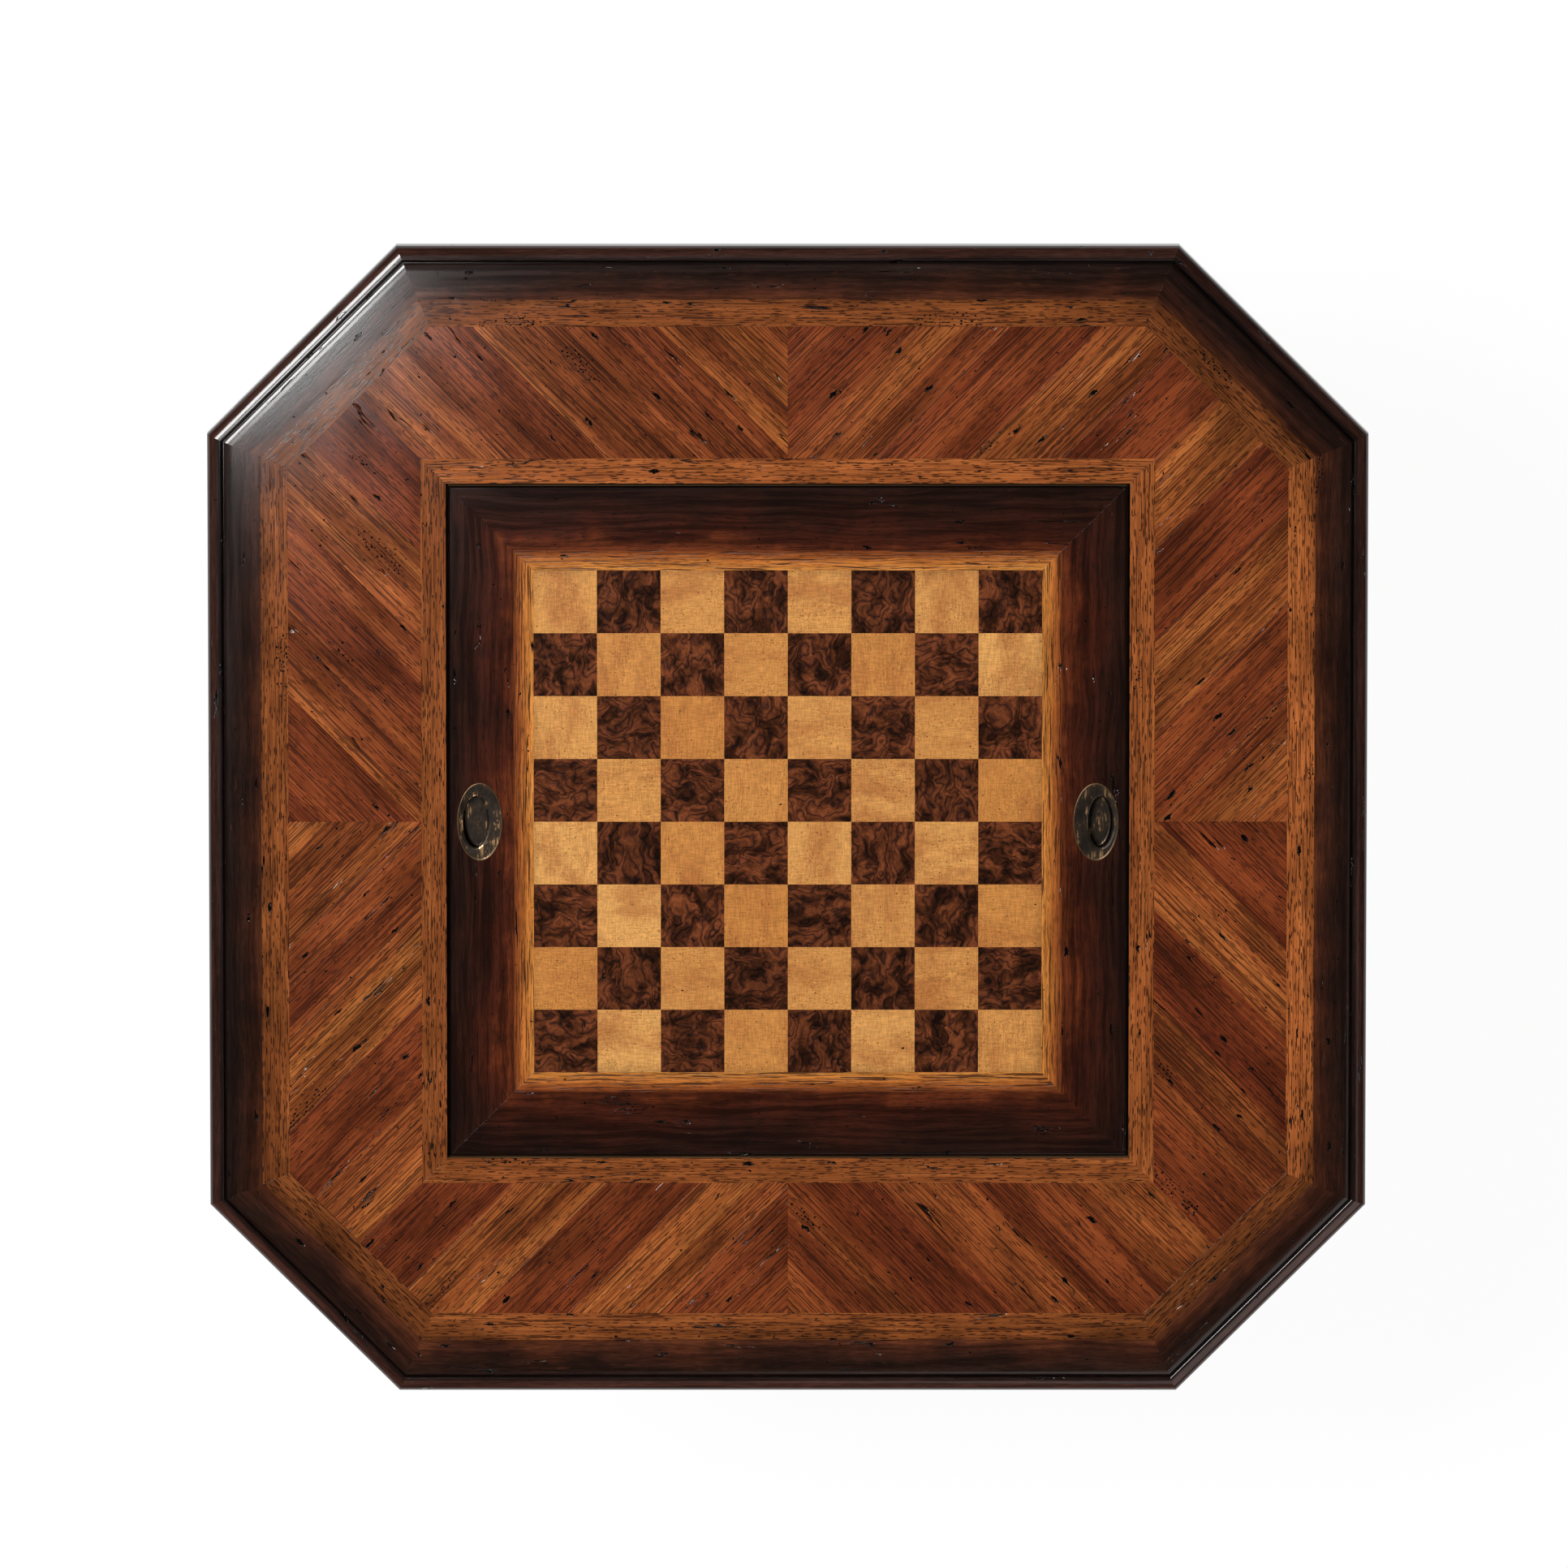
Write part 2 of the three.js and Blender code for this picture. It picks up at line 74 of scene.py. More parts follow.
def addCamera():
    lean = math.radians(camera["lean"])
    x, y, z = camera["aim"]
    place = (x, y + camera["distance"] * math.sin(lean), z + camera["distance"] * math.cos(lean))
    bpy.ops.object.camera_add(location=place, rotation=(-lean, 0, 0))
    scene.camera = bpy.context.object
    scene.camera.data.lens = camera["lens"]
    scene.camera.data.sensor_width = camera["sensor"]
    scene.camera.data.clip_end = camera["clipEnd"]


addCamera()

# modelling helpers
sides = {"right": 0, "back": 90, "left": 180, "front": 270}
cants = {"back_right": 45, "back_left": 135, "front_left": 225, "front_right": 315}
corners = {"back_right": 0, "back_left": 90, "front_left": 180, "front_right": 270}


def selectOnly(*pieces):
    bpy.ops.object.select_all(action="DESELECT")
    for piece in pieces:
        piece.select_set(True)
    bpy.context.view_layer.objects.active = pieces[0]


def openUp():
    # starts edit mode with everything selected
    bpy.ops.object.mode_set(mode="EDIT")
    bpy.ops.mesh.select_all(action="SELECT")


def closeUp():
    # ends edit mode with every face turned outwards
    bpy.ops.mesh.select_all(action="SELECT")
    bpy.ops.mesh.normals_make_consistent(inside=False)
    bpy.ops.object.mode_set(mode="OBJECT")


def startOutline(name, points):
    # a plane merged to one vertex, then drawn on through the points; it stays in edit mode
    bpy.ops.mesh.primitive_plane_add(size=1, calc_uvs=False)
    piece = bpy.context.object
    piece.name = name
    openUp()
    bpy.ops.mesh.merge(type="CENTER")
    bpy.ops.transform.translate(value=points[0])
    for before, after in zip(points, points[1:]):
        step = [end - start for start, end in zip(before, after)]
        bpy.ops.mesh.extrude_vertices_move(TRANSFORM_OT_translate={"value": step})
    bpy.ops.mesh.select_all(action="SELECT")
    return piece


def pull(step):
    bpy.ops.mesh.extrude_region_move(TRANSFORM_OT_translate={"value": step})


def plate(name, outline, low, high):
    piece = startOutline(name, [(x, y, high) for x, y in outline])
    bpy.ops.mesh.edge_face_add()
    pull((0, 0, low - high))
    closeUp()
    return piece


def slab(name, halfWidth, halfLength, low, high):
    # a square-cornered board in the middle of the table
    x, y = halfWidth, halfLength
    return plate(name, [(-x, -y), (x, -y), (x, y), (-x, y)], low, high)


def cutAway(piece, point, outward):
    selectOnly(piece)
    openUp()
    bpy.ops.mesh.bisect(plane_co=point, plane_no=outward, use_fill=True, clear_outer=True)
    closeUp()


def mitredLength(name, outline, distance, halfLength, mitre):
    # a length lying along Y on the right-hand side; the outline is (inset, height) points
    points = [(distance - inset, -halfLength, height) for inset, height in outline]
    piece = startOutline(name, points)
    bpy.ops.mesh.edge_face_add()
    pull((0, 2 * halfLength, 0))
    closeUp()
    for end in (-1, 1):
        outward = (-math.sin(mitre), end * math.cos(mitre), 0)
        cutAway(piece, (distance, end * halfLength, 0), outward)
    return piece


def modify(piece, kind, **settings):
    # adds a modifier with those settings, and applies it
    selectOnly(piece)
    modifier = piece.modifiers.new("change", kind)
    for key, setting in settings.items():
        setattr(modifier, key, setting)
    bpy.ops.object.modifier_apply(modifier=modifier.name)


def shadeEvenly(piece, sharpest=50):
    # smooth shading that leaves the broad faces flat
    selectOnly(piece)
    bpy.ops.object.shade_smooth_by_angle(angle=math.radians(sharpest))
    modify(piece, "WEIGHTED_NORMAL", weight=100, keep_sharp=True)


def ease(piece, width, segments=2, sharper=40):
    limit = math.radians(sharper)
    modify(piece, "BEVEL", width=width, segments=segments, limit_method="ANGLE", angle_limit=limit)
    shadeEvenly(piece)


def storeOn(piece, name, kind):
    # the piece's own store of that name, made if it has none
    stores = piece.data.attributes
    return stores.get(name) or stores.new(name, kind, "POINT")


def keepGrain(piece, along, across):
    # each point's place along the grain, across it and up through the wood, for the materials
    store = storeOn(piece, "grainSpace", "FLOAT_VECTOR")
    axes = (Vector(along), Vector(across), Vector(along).cross(Vector(across)))
    for entry, vertex in zip(store.data, piece.data.vertices):
        entry.vector = [axis.dot(vertex.co) for axis in axes]


def newWood(piece, tone=None):
    # moves the grain on to a fresh piece of wood, and sets how light that wood is
    move = [chance.uniform(0, 9), chance.uniform(0, 9), chance.uniform(0, 9)]
    for entry in piece.data.attributes["grainSpace"].data:
        entry.vector = [part + step for part, step in zip(entry.vector, move)]
    store = storeOn(piece, "tone", "FLOAT")
    lightness = chance.random() if tone is None else tone
    store.data.foreach_set("value", [lightness] * len(store.data))


def copyOf(piece, name, degrees=0, move=(0, 0, 0)):
    copy = piece.copy()
    copy.data = piece.data.copy()
    copy.name = name
    bpy.context.collection.objects.link(copy)
    copy.rotation_euler = (0, 0, math.radians(degrees))
    copy.location = move
    selectOnly(copy)
    bpy.ops.object.transform_apply()
    return copy


def discard(*pieces):
    for piece in pieces:
        bpy.data.objects.remove(piece)


def lay(piece, body, slotName, material, *nodes):
    # gives the piece its finish, and its place among the solids
    piece.data.materials.clear()
    piece.data.materials.append(material)
    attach(piece, body)
    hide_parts(*nodes)


def layRound(pattern, prefix, places, body, slotName, material, nodePrefix, tones=None):
    # copies of the pattern, each turned to its place on wood of its own; the pattern itself goes
    pieces = {}
    for name, degrees in places.items():
        pieces[name] = copyOf(pattern, prefix + name, degrees)
        newWood(pieces[name], tones[name] if tones else None)
        lay(pieces[name], body, slotName, material, nodePrefix + name)
    discard(pattern)
    return pieces


# material helpers, and the span that nearly all of a noise lies in
usual = (0.3, 0.7)


def paint(red, green, blue):
    # a colour as it is read off a photograph, 0 to 255, for a node's socket
    def linear(value):
        share = value / 255
        return share / 12.92 if share <= 0.04045 else ((share + 0.055) / 1.055) ** 2.4
    return (linear(red), linear(green), linear(blue), 1.0)


def newMaterial(name):
    material = bpy.data.materials.new(name)
    material.use_nodes = True
    material.node_tree.nodes.clear()
    return material, material.node_tree


def addNode(tree, kind, values, **settings):
    node = tree.nodes.new("ShaderNode" + kind)
    for key, setting in settings.items():
        setattr(node, key, setting)
    for key, value in values.items():
        if isinstance(value, bpy.types.NodeSocket):
            tree.links.new(value, node.inputs[key])
        else:
            node.inputs[key].default_value = value
    return node


def grainOf(tree):
    return addNode(tree, "Attribute", {}, attribute_name="grainSpace").outputs["Vector"]


def toneOf(tree):
    return addNode(tree, "Attribute", {}, attribute_name="tone").outputs["Fac"]


def placeOf(tree):
    return addNode(tree, "TexCoord", {}).outputs["Object"]


def sums(tree, operation, first, second=0.0):
    return addNode(tree, "Math", {0: first, 1: second}, operation=operation).outputs[0]


def times(tree, first, second):
    return sums(tree, "MULTIPLY", first, second)


def less(tree, first, second):
    return sums(tree, "SUBTRACT", first, second)


def vectors(tree, operation, first, second):
    return addNode(tree, "VectorMath", {0: first, 1: second}, operation=operation).outputs[0]


def scaled(tree, vector, factor):
    return addNode(tree, "VectorMath", {0: vector, 3: factor}, operation="SCALE").outputs[0]


def stretch(tree, vector, size):
    # counts the vector in features of that size, in metres; two sizes are a length and a width
    return vectors(tree, "MULTIPLY", vector, [1 / length for length in (*size, size[-1])[:3]])


def noise(tree, vector, size, detail=2.0, roughness=0.5):
    features = stretch(tree, vector, size)
    values = {"Vector": features, "Scale": 1.0, "Detail": detail, "Roughness": roughness}
    return addNode(tree, "TexNoise", values).outputs[0]


def between(tree, value, low, high, start=0.0, end=1.0):
    values = {0: value, 1: low, 2: high, 3: start, 4: end}
    return addNode(tree, "MapRange", values, interpolation_type="SMOOTHSTEP").outputs[0]


def mixed(tree, amount, first, second):
    return addNode(tree, "Mix", {0: amount, 6: first, 7: second}, data_type="RGBA").outputs[2]


def varied(tree, colour, value, dark, light, low=usual[0], high=usual[1]):
    # shades the colour from dark, where the value is low, to light
    return scaled(tree, colour, between(tree, value, low, high, dark, light))


def tinted(tree, colour, where, amount, tint):
    return mixed(tree, times(tree, where, amount), colour, paint(*tint))


def peaks(tree, vector, size, low, high, *more):
    # where the noise runs high: 0 below low, 1 above high
    return between(tree, noise(tree, vector, size, *more), low, high)


def ramp(tree, value, colours):
    # blends from one colour to the next, each given for its share of the way
    node = addNode(tree, "ValToRGB", {0: value})
    stops = [(share, paint(*colour)) for share, colour in colours.items()]
    elements = node.color_ramp.elements
    elements[0].position, elements[0].color = stops[0]
    elements[1].position, elements[1].color = stops[-1]
    for share, colour in stops[1:-1]:
        elements.new(share).color = colour
    return node.outputs[0]


def waved(tree, vector, size, reach):
    # bends the grain sideways by up to about half the reach
    swing = less(tree, noise(tree, vector, size, 1.0), 0.5)
    offset = addNode(tree, "CombineXYZ", {1: times(tree, swing, reach)}).outputs[0]
    return vectors(tree, "ADD", vector, offset)


def spots(tree, vector, size, share, radius, flat=True):
    # round spots in that share of the cells: 1 inside a spot, 0 outside
    values = {"Vector": stretch(tree, vector, size), "Scale": 1.0}
    cells = addNode(tree, "TexVoronoi", values, voronoi_dimensions="2D" if flat else "3D")
    parts = addNode(tree, "SeparateColor", {0: cells.outputs["Color"]})
    reach = between(tree, parts.outputs[1], 0.0, 1.0, radius * 0.4, radius)
    inside = less(tree, reach, cells.outputs["Distance"])
    spot = between(tree, inside, 0.0, radius * 0.3)
    chosen = sums(tree, "LESS_THAN", parts.outputs[0], share)
    return times(tree, spot, chosen)


def ragged(tree, vector, size, reach):
    # pushes the vector about, so that spots drawn on it get torn edges
    values = {"Vector": stretch(tree, vector, size), "Scale": 1.0, "Detail": 2.0}
    swing = addNode(tree, "TexNoise", values).outputs["Color"]
    centred = vectors(tree, "SUBTRACT", swing, (0.5, 0.5, 0.5))
    return vectors(tree, "ADD", vector, scaled(tree, centred, reach))


def most(tree, *values):
    result = values[0]
    for value in values[1:]:
        result = sums(tree, "MAXIMUM", result, value)
    return result


def knocks(tree, space, amount):
    # small specks and torn gouges: 1 where the wood is gone
    torn = ragged(tree, space, (0.005, 0.003, 0.004), 0.006)
    specks = spots(tree, torn, (0.013, 0.007, 0.009), 0.14 * amount, 0.09)
    gouges = spots(tree, torn, (0.075, 0.020), 0.22 * amount, 0.08)
    return most(tree, specks, gouges)


def distress(tree, space, amount):
    # knocks, with clusters of wormholes and a few cracks along the grain
    torn = ragged(tree, space, (0.012, 0.008, 0.01), 0.012)
    holes = spots(tree, space, (0.0040, 0.0028, 0.003), 0.7, 0.34)
    patches = spots(tree, torn, (0.20, 0.045, 0.05), 0.14 * amount, 0.20)
    worm = times(tree, holes, between(tree, patches, *usual))
    vein = noise(tree, space, (0.10, 0.010), 3.0)
    line = between(tree, sums(tree, "ABSOLUTE", less(tree, vein, 0.5)), 0.016, 0.005)
    where = peaks(tree, space, (0.07, 0.016, 0.03), 0.63, 0.67, 2.0)
    cracks = times(tree, line, where)
    return most(tree, knocks(tree, space, amount), worm, cracks)


def outwards(tree, place):
    # how far a point lies from the middle, towards its side and towards its cant
    parts = addNode(tree, "SeparateXYZ", {0: place})
    x = sums(tree, "ABSOLUTE", parts.outputs[0])
    y = sums(tree, "ABSOLUTE", parts.outputs[1])
    return most(tree, x, y), times(tree, sums(tree, "ADD", x, y), slant)


def insetOf(tree, place):
    # how far a point lies inside the outline of the eight-sided top
    toSide, toCant = outwards(tree, place)
    return sums(tree, "MINIMUM", less(tree, top["half"], toSide), less(tree, cantDistance, toCant))


def boardInsetOf(tree, place):
    # how far a point lies inside the edge of the chessboard panel
    return less(tree, board["half"], outwards(tree, place)[0])


def strayed(tree, inset, place, reach):
    # the stain was laid by hand, so its edge wanders
    wander = less(tree, noise(tree, place, (0.06, 0.06), 4.0, 0.6), 0.5)
    return sums(tree, "ADD", inset, times(tree, wander, reach))


def behindCants(tree, colour, place, darkest):
    # the stain runs further in behind the four cants
    inside = less(tree, cantDistance, outwards(tree, place)[1])
    return varied(tree, colour, strayed(tree, inside, place, 0.08), darkest, 1.0, 0.03, 0.13)


def finishMaterial(material, colour, roughness, height, depth, metallic=0.0):
    # the height only bends the light; one whole step of it stands for the depth
    tree = material.node_tree
    bump = addNode(tree, "Bump", {"Strength": 1.0, "Distance": depth, "Height": height})
    values = {"Base Color": colour, "Roughness": roughness, "Metallic": metallic}
    shader = addNode(tree, "BsdfPrincipled", {**values, "Normal": bump.outputs[0]})
    addNode(tree, "OutputMaterial", {"Surface": shader.outputs[0]})
    return material


gouge = {"colour": (0.0020, 0.0012, 0.0009, 1.0), "gloss": 0.08, "depth": 1.6}
grainDepth = 0.0008


def wornWood(material, base, gone, patches, polish, relief, rise, depth=grainDepth):
    # the usual end of a wood: gouges are dark, and the polish varies by patches
    tree = material.node_tree
    colour = mixed(tree, gone, base, gouge["colour"])
    roughness = less(tree, between(tree, patches, *usual, *polish), times(tree, gone, gouge["gloss"]))
    height = less(tree, times(tree, relief, rise), times(tree, gone, gouge["depth"]))
    return finishMaterial(material, colour, roughness, height, depth)


# woods of the top
def borderWood():
    # nearly black along the quirk, from dark glaze and painted shade in that groove; brown beside the
    # banding, dull red on the thumb
    material, tree = newMaterial("dark_border_wood")
    space, place, tone = grainOf(tree), placeOf(tree), toneOf(tree)
    inset = insetOf(tree, place)
    share = sums(tree, "DIVIDE", inset, top["moulding"])
    wandering = sums(tree, "DIVIDE", strayed(tree, inset, place, 0.05), top["moulding"])
    inner = ramp(tree, wandering, {
        0.30: (34, 18, 12), 0.52: (38, 20, 13), 0.72: (52, 26, 16),
        0.9: (68, 34, 20), 1.0: (84, 43, 24),
    })
    # the thumb darkens towards the quirk: dark glaze, with painted shade down in the groove
    outer = ramp(tree, share, {
        0.0: (56, 34, 28), 0.10: (68, 40, 32), 0.18: (58, 33, 26),
        0.23: (36, 21, 17), 0.285: (22, 14, 12), 0.30: (17, 12, 10),
    })
    base = mixed(tree, between(tree, share, 0.315, 0.325), outer, inner)
    base = varied(tree, base, tone, 0.6, 1.2, 0.0, 1.0)
    streak = noise(tree, waved(tree, space, (0.12, 0.05), 0.012), (0.14, 0.006), 4.0, 0.62)
    base = varied(tree, base, streak, 0.6, 1.4, 0.32, 0.7)
    fine = noise(tree, space, (0.012, 0.0011), 2.0)
    base = varied(tree, base, fine, 0.74, 1.2, 0.35, 0.65)
    worn = peaks(tree, space, (0.03, 0.006), 0.63, 0.74, 4.0, 0.65)
    base = tinted(tree, base, worn, 0.3, (96, 52, 32))
    torn = ragged(tree, space, (0.005, 0.005), 0.007)
    nicks = spots(tree, torn, (0.030, 0.011), 0.22, 0.15, False)
    gone = most(tree, nicks, distress(tree, space, 0.9))
    return wornWood(material, base, gone, streak, (0.14, 0.18), fine, 0.03)


def oakWood():
    # oak banding with dense staggered pores; the outer run is shaded by the border's stain
    material, tree = newMaterial("oak_banding_wood")
    space, place, tone = grainOf(tree), placeOf(tree), toneOf(tree)
    waves = waved(tree, space, (0.10, 0.04), 0.001)
    streak = noise(tree, waves, (0.16, 0.0024), 3.0, 0.6)
    base = ramp(tree, streak, {0.3: (144, 76, 36), 0.5: (164, 90, 43), 0.7: (184, 106, 52)})
    fibre = noise(tree, space, (0.040, 0.0009), 1.0)
    base = varied(tree, base, fibre, 0.78, 1.22)
    base = varied(tree, base, tone, 0.72, 1.34, 0.0, 1.0)
    cloud = noise(tree, space, (0.07, 0.02), 4.0, 0.6)
    base = varied(tree, base, cloud, 0.76, 1.12)
    pores = spots(tree, space, (0.013, 0.0020), 0.92, 0.35)
    thick = peaks(tree, waves, (0.030, 0.0011), 0.62, 0.66, 0.0)
    marks = most(tree, times(tree, pores, 0.90), times(tree, thick, 0.70))
    base = mixed(tree, marks, base, paint(44, 19, 9))
    fromBorder = less(tree, insetOf(tree, place), top["moulding"])
    stained = strayed(tree, fromBorder, place, 0.05)
    base = varied(tree, base, stained, 0.36, 1.0, -0.012, 0.016)
    base = behindCants(tree, base, place, 0.58)
    return wornWood(material, base, distress(tree, space, 1.6), cloud, (0.14, 0.18), marks, -0.02)


def fieldVeneer():
    # walnut leaves, golden ones (tone 1) beside red ones (tone 0), with long fine dark lines
    material, tree = newMaterial("field_veneer")
    space, tone, place = grainOf(tree), toneOf(tree), placeOf(tree)
    waves = waved(tree, space, (0.30, 0.08), 0.008)
    broad = noise(tree, waves, (0.40, 0.020), 4.0, 0.46)
    narrow = noise(tree, waves, (0.12, 0.0014), 2.0, 0.55)
    streak = sums(tree, "ADD", times(tree, broad, 0.55), times(tree, narrow, 0.45))
    red = ramp(tree, streak, {0.38: (96, 38, 17), 0.5: (128, 57, 26), 0.62: (146, 70, 33)})
    golden = ramp(tree, streak, {0.38: (126, 60, 26), 0.5: (162, 86, 39), 0.62: (198, 118, 56)})
    base = mixed(tree, tone, red, golden)
    cloud = noise(tree, space, (0.11, 0.05), 5.0, 0.62)
    base = varied(tree, base, cloud, 0.54, 1.18, 0.32, 0.66)
    lines = peaks(tree, waves, (0.075, 0.0011), 0.52, 0.59, 1.0)
    pores = spots(tree, space, (0.015, 0.0021), 0.85, 0.33)
    marks = most(tree, times(tree, lines, 0.70), times(tree, pores, 0.75))
    base = mixed(tree, marks, base, paint(38, 15, 7))
    base = behindCants(tree, base, place, 0.72)
    return wornWood(material, base, distress(tree, space, 1.9), cloud, (0.15, 0.20), marks, -0.02)


def mapleWood():
    # pale squares, each its own tone, with a canvas-like weave, dirty patches and brown flecks
    material, tree = newMaterial("maple_square_wood")
    space, tone, place = grainOf(tree), toneOf(tree), placeOf(tree)
    base = mixed(tree, tone, paint(202, 132, 64), paint(232, 170, 96))
    cloud = noise(tree, space, (0.06, 0.030), 4.0, 0.6)
    base = mixed(tree, between(tree, cloud, 0.40, 0.70, 0.0, 0.7), base, paint(176, 104, 48))
    fibre = noise(tree, space, (0.010, 0.0011), 1.0)
    base = varied(tree, base, fibre, 0.86, 1.13)
    cross = noise(tree, space, (0.0011, 0.008, 0.0011), 1.0)
    base = varied(tree, base, cross, 0.87, 1.12)
    grit = peaks(tree, space, (0.0022, 0.0014), 0.54, 0.68, 1.0)
    dirty = peaks(tree, space, (0.030, 0.022), 0.38, 0.62, 3.0)
    base = mixed(tree, times(tree, grit, times(tree, dirty, 0.7)), base, paint(158, 92, 42))
    flecks = spots(tree, space, (0.0062, 0.0050), 0.12, 0.18)
    base = tinted(tree, base, flecks, 0.7, (118, 64, 29))
    inset = strayed(tree, boardInsetOf(tree, place), place, 0.03)
    rim = board["border"] + board["banding"]
    base = varied(tree, base, inset, 0.5, 1.0, rim - 0.012, rim + 0.010)
    return wornWood(material, base, knocks(tree, space, 0.08), cloud, (0.20, 0.26), fibre, 0.06, 0.0005)


def burlWood():
    # walnut burl: brown fields between curling dark contours, and small dark eyes
    material, tree = newMaterial("burl_square_wood")
    space, tone = grainOf(tree), toneOf(tree)
    torn = ragged(tree, space, (0.024, 0.024), 0.030)
    contour = noise(tree, torn, (0.034, 0.022, 0.028), 1.5, 0.5)
    layer = sums(tree, "FRACT", times(tree, contour, 9.0))
    base = ramp(tree, layer, {
        0.0: (38, 17, 9), 0.06: (46, 21, 11), 0.18: (72, 34, 17),
        0.5: (98, 50, 25), 0.85: (82, 40, 20), 1.0: (54, 25, 13),
    })
    cloud = noise(tree, torn, (0.026, 0.014, 0.020), 4.0, 0.6)
    base = varied(tree, base, cloud, 0.25, 1.62, 0.36, 0.64)
    eyes = spots(tree, torn, (0.010, 0.010), 0.25, 0.20)
    base = tinted(tree, base, eyes, 0.8, (22, 10, 6))
    fine = noise(tree, torn, (0.0030, 0.0016), 2.0)
    base = varied(tree, base, fine, 0.68, 1.28)
    base = varied(tree, base, tone, 0.90, 1.16, 0.0, 1.0)
    return wornWood(material, base, knocks(tree, space, 0.12), cloud, (0.15, 0.20), fine, 0.03, 0.0006)


def boardBorderWood():
    # dark stain towards the panel's edge, with painted shade on its rounded edge beside the gap;
    # red-brown and streaky beside the banding
    material, tree = newMaterial("board_border_wood")
    space, place = grainOf(tree), placeOf(tree)
    inset = strayed(tree, boardInsetOf(tree, place), place, 0.08)
    base = ramp(tree, sums(tree, "DIVIDE", inset, board["border"]), {
        0.0: (34, 15, 9), 0.25: (42, 18, 10), 0.5: (52, 21, 11),
        0.8: (66, 26, 12), 1.0: (98, 44, 20),
    })
    # painted shade on the rounded edge, which widens the dark line of the gap
    rounded = sums(tree, "DIVIDE", boardInsetOf(tree, place), board["roundedEdge"])
    base = varied(tree, base, rounded, 0.15, 1.0, 0.2, 1.4)
    waves = waved(tree, space, (0.10, 0.05), 0.014)
    streak = noise(tree, waves, (0.13, 0.006), 5.0, 0.7)
    base = varied(tree, base, streak, 0.46, 1.42, 0.36, 0.66)
    pores = peaks(tree, waves, (0.011, 0.0010), 0.54, 0.64, 1.5)
    base = tinted(tree, base, pores, 0.5, (16, 8, 5))
    return wornWood(material, base, distress(tree, space, 0.8), streak, (0.14, 0.18), pores, -0.012)


def boardBandingWood():
    # orange-tan strip with long dark streaks, shaded by the stain of the border
    material, tree = newMaterial("board_banding_wood")
    space, place = grainOf(tree), placeOf(tree)
    inset = strayed(tree, less(tree, boardInsetOf(tree, place), board["border"]), place, 0.012)
    share = sums(tree, "DIVIDE", inset, board["banding"])
    base = ramp(tree, share, {
        0.0: (118, 57, 25), 0.3: (164, 89, 38), 0.6: (198, 118, 51), 1.0: (214, 138, 63),
    })
    waves = waved(tree, space, (0.05, 0.03), 0.003)
    streak = noise(tree, waves, (0.10, 0.0022), 4.0, 0.6)
    base = varied(tree, base, streak, 0.66, 1.26)
    pores = peaks(tree, waves, (0.010, 0.0009), 0.54, 0.62, 1.0)
    base = tinted(tree, base, pores, 0.5, (66, 32, 15))
    marks = peaks(tree, waves, (0.050, 0.0012), 0.56, 0.61, 1.0)
    base = tinted(tree, base, marks, 0.85, (56, 27, 13))
    return wornWood(material, base, distress(tree, space, 0.7), streak, (0.16, 0.21), marks, -0.03)


# woods of the base, and the metal
def baseWood():
    # dark stained wood of the legs and rails, rubbed lighter here and there
    material, tree = newMaterial("base_wood")
    space = grainOf(tree)
    waves = waved(tree, space, (0.16, 0.05), 0.012)
    streak = noise(tree, waves, (0.22, 0.007), 4.0, 0.6)
    base = ramp(tree, streak, {0.3: (46, 22, 14), 0.5: (76, 38, 24), 0.7: (108, 58, 36)})
    pores = peaks(tree, waves, (0.012, 0.0009), 0.56, 0.66, 1.5)
    base = tinted(tree, base, pores, 0.6, (20, 10, 7))
    worn = peaks(tree, space, (0.05, 0.02), 0.6, 0.72, 5.0, 0.65)
    base = tinted(tree, base, worn, 0.3, (118, 70, 46))
    torn = ragged(tree, space, (0.005, 0.005), 0.006)
    gone = spots(tree, torn, (0.040, 0.030), 0.22, 0.12, False)
    colour = mixed(tree, gone, base, paint(12, 8, 7))
    roughness = between(tree, streak, *usual, 0.27, 0.36)
    height = less(tree, times(tree, pores, -0.04), gone)
    return finishMaterial(material, colour, roughness, height, grainDepth)


def plainWood(name, vectorOf):
    # unstained wood under the top and inside the frame, dusty and dry
    material, tree = newMaterial(name)
    space = vectorOf(tree)
    waves = waved(tree, space, (0.2, 0.06), 0.02)
    streak = noise(tree, waves, (0.35, 0.006), 4.0, 0.6)
    base = ramp(tree, streak, {0.3: (120, 84, 50), 0.5: (158, 118, 76), 0.7: (184, 146, 100)})
    cloud = noise(tree, space, (0.15, 0.08), 4.0)
    base = varied(tree, base, cloud, 0.72, 1.05)
    fibre = noise(tree, space, (0.02, 0.0008), 2.0)
    base = varied(tree, base, fibre, 0.88, 1.06)
    roughness = between(tree, cloud, *usual, 0.62, 0.78)
    return finishMaterial(material, base, roughness, fibre, 0.0003)


def wellFloorWood():
    # floor of the backgammon well, a quiet mid-brown walnut
    material, tree = newMaterial("well_floor_wood")
    space = grainOf(tree)
    waves = waved(tree, space, (0.2, 0.05), 0.015)
    streak = noise(tree, waves, (0.30, 0.008), 4.0, 0.6)
    base = ramp(tree, streak, {0.3: (74, 38, 22), 0.5: (104, 57, 33), 0.7: (128, 76, 46)})
    pores = peaks(tree, waves, (0.010, 0.0008), 0.58, 0.68, 1.5)
    base = tinted(tree, base, pores, 0.5, (44, 22, 13))
    roughness = between(tree, streak, *usual, 0.42, 0.52)
    return finishMaterial(material, base, roughness, times(tree, pores, -1.0), 0.0002)


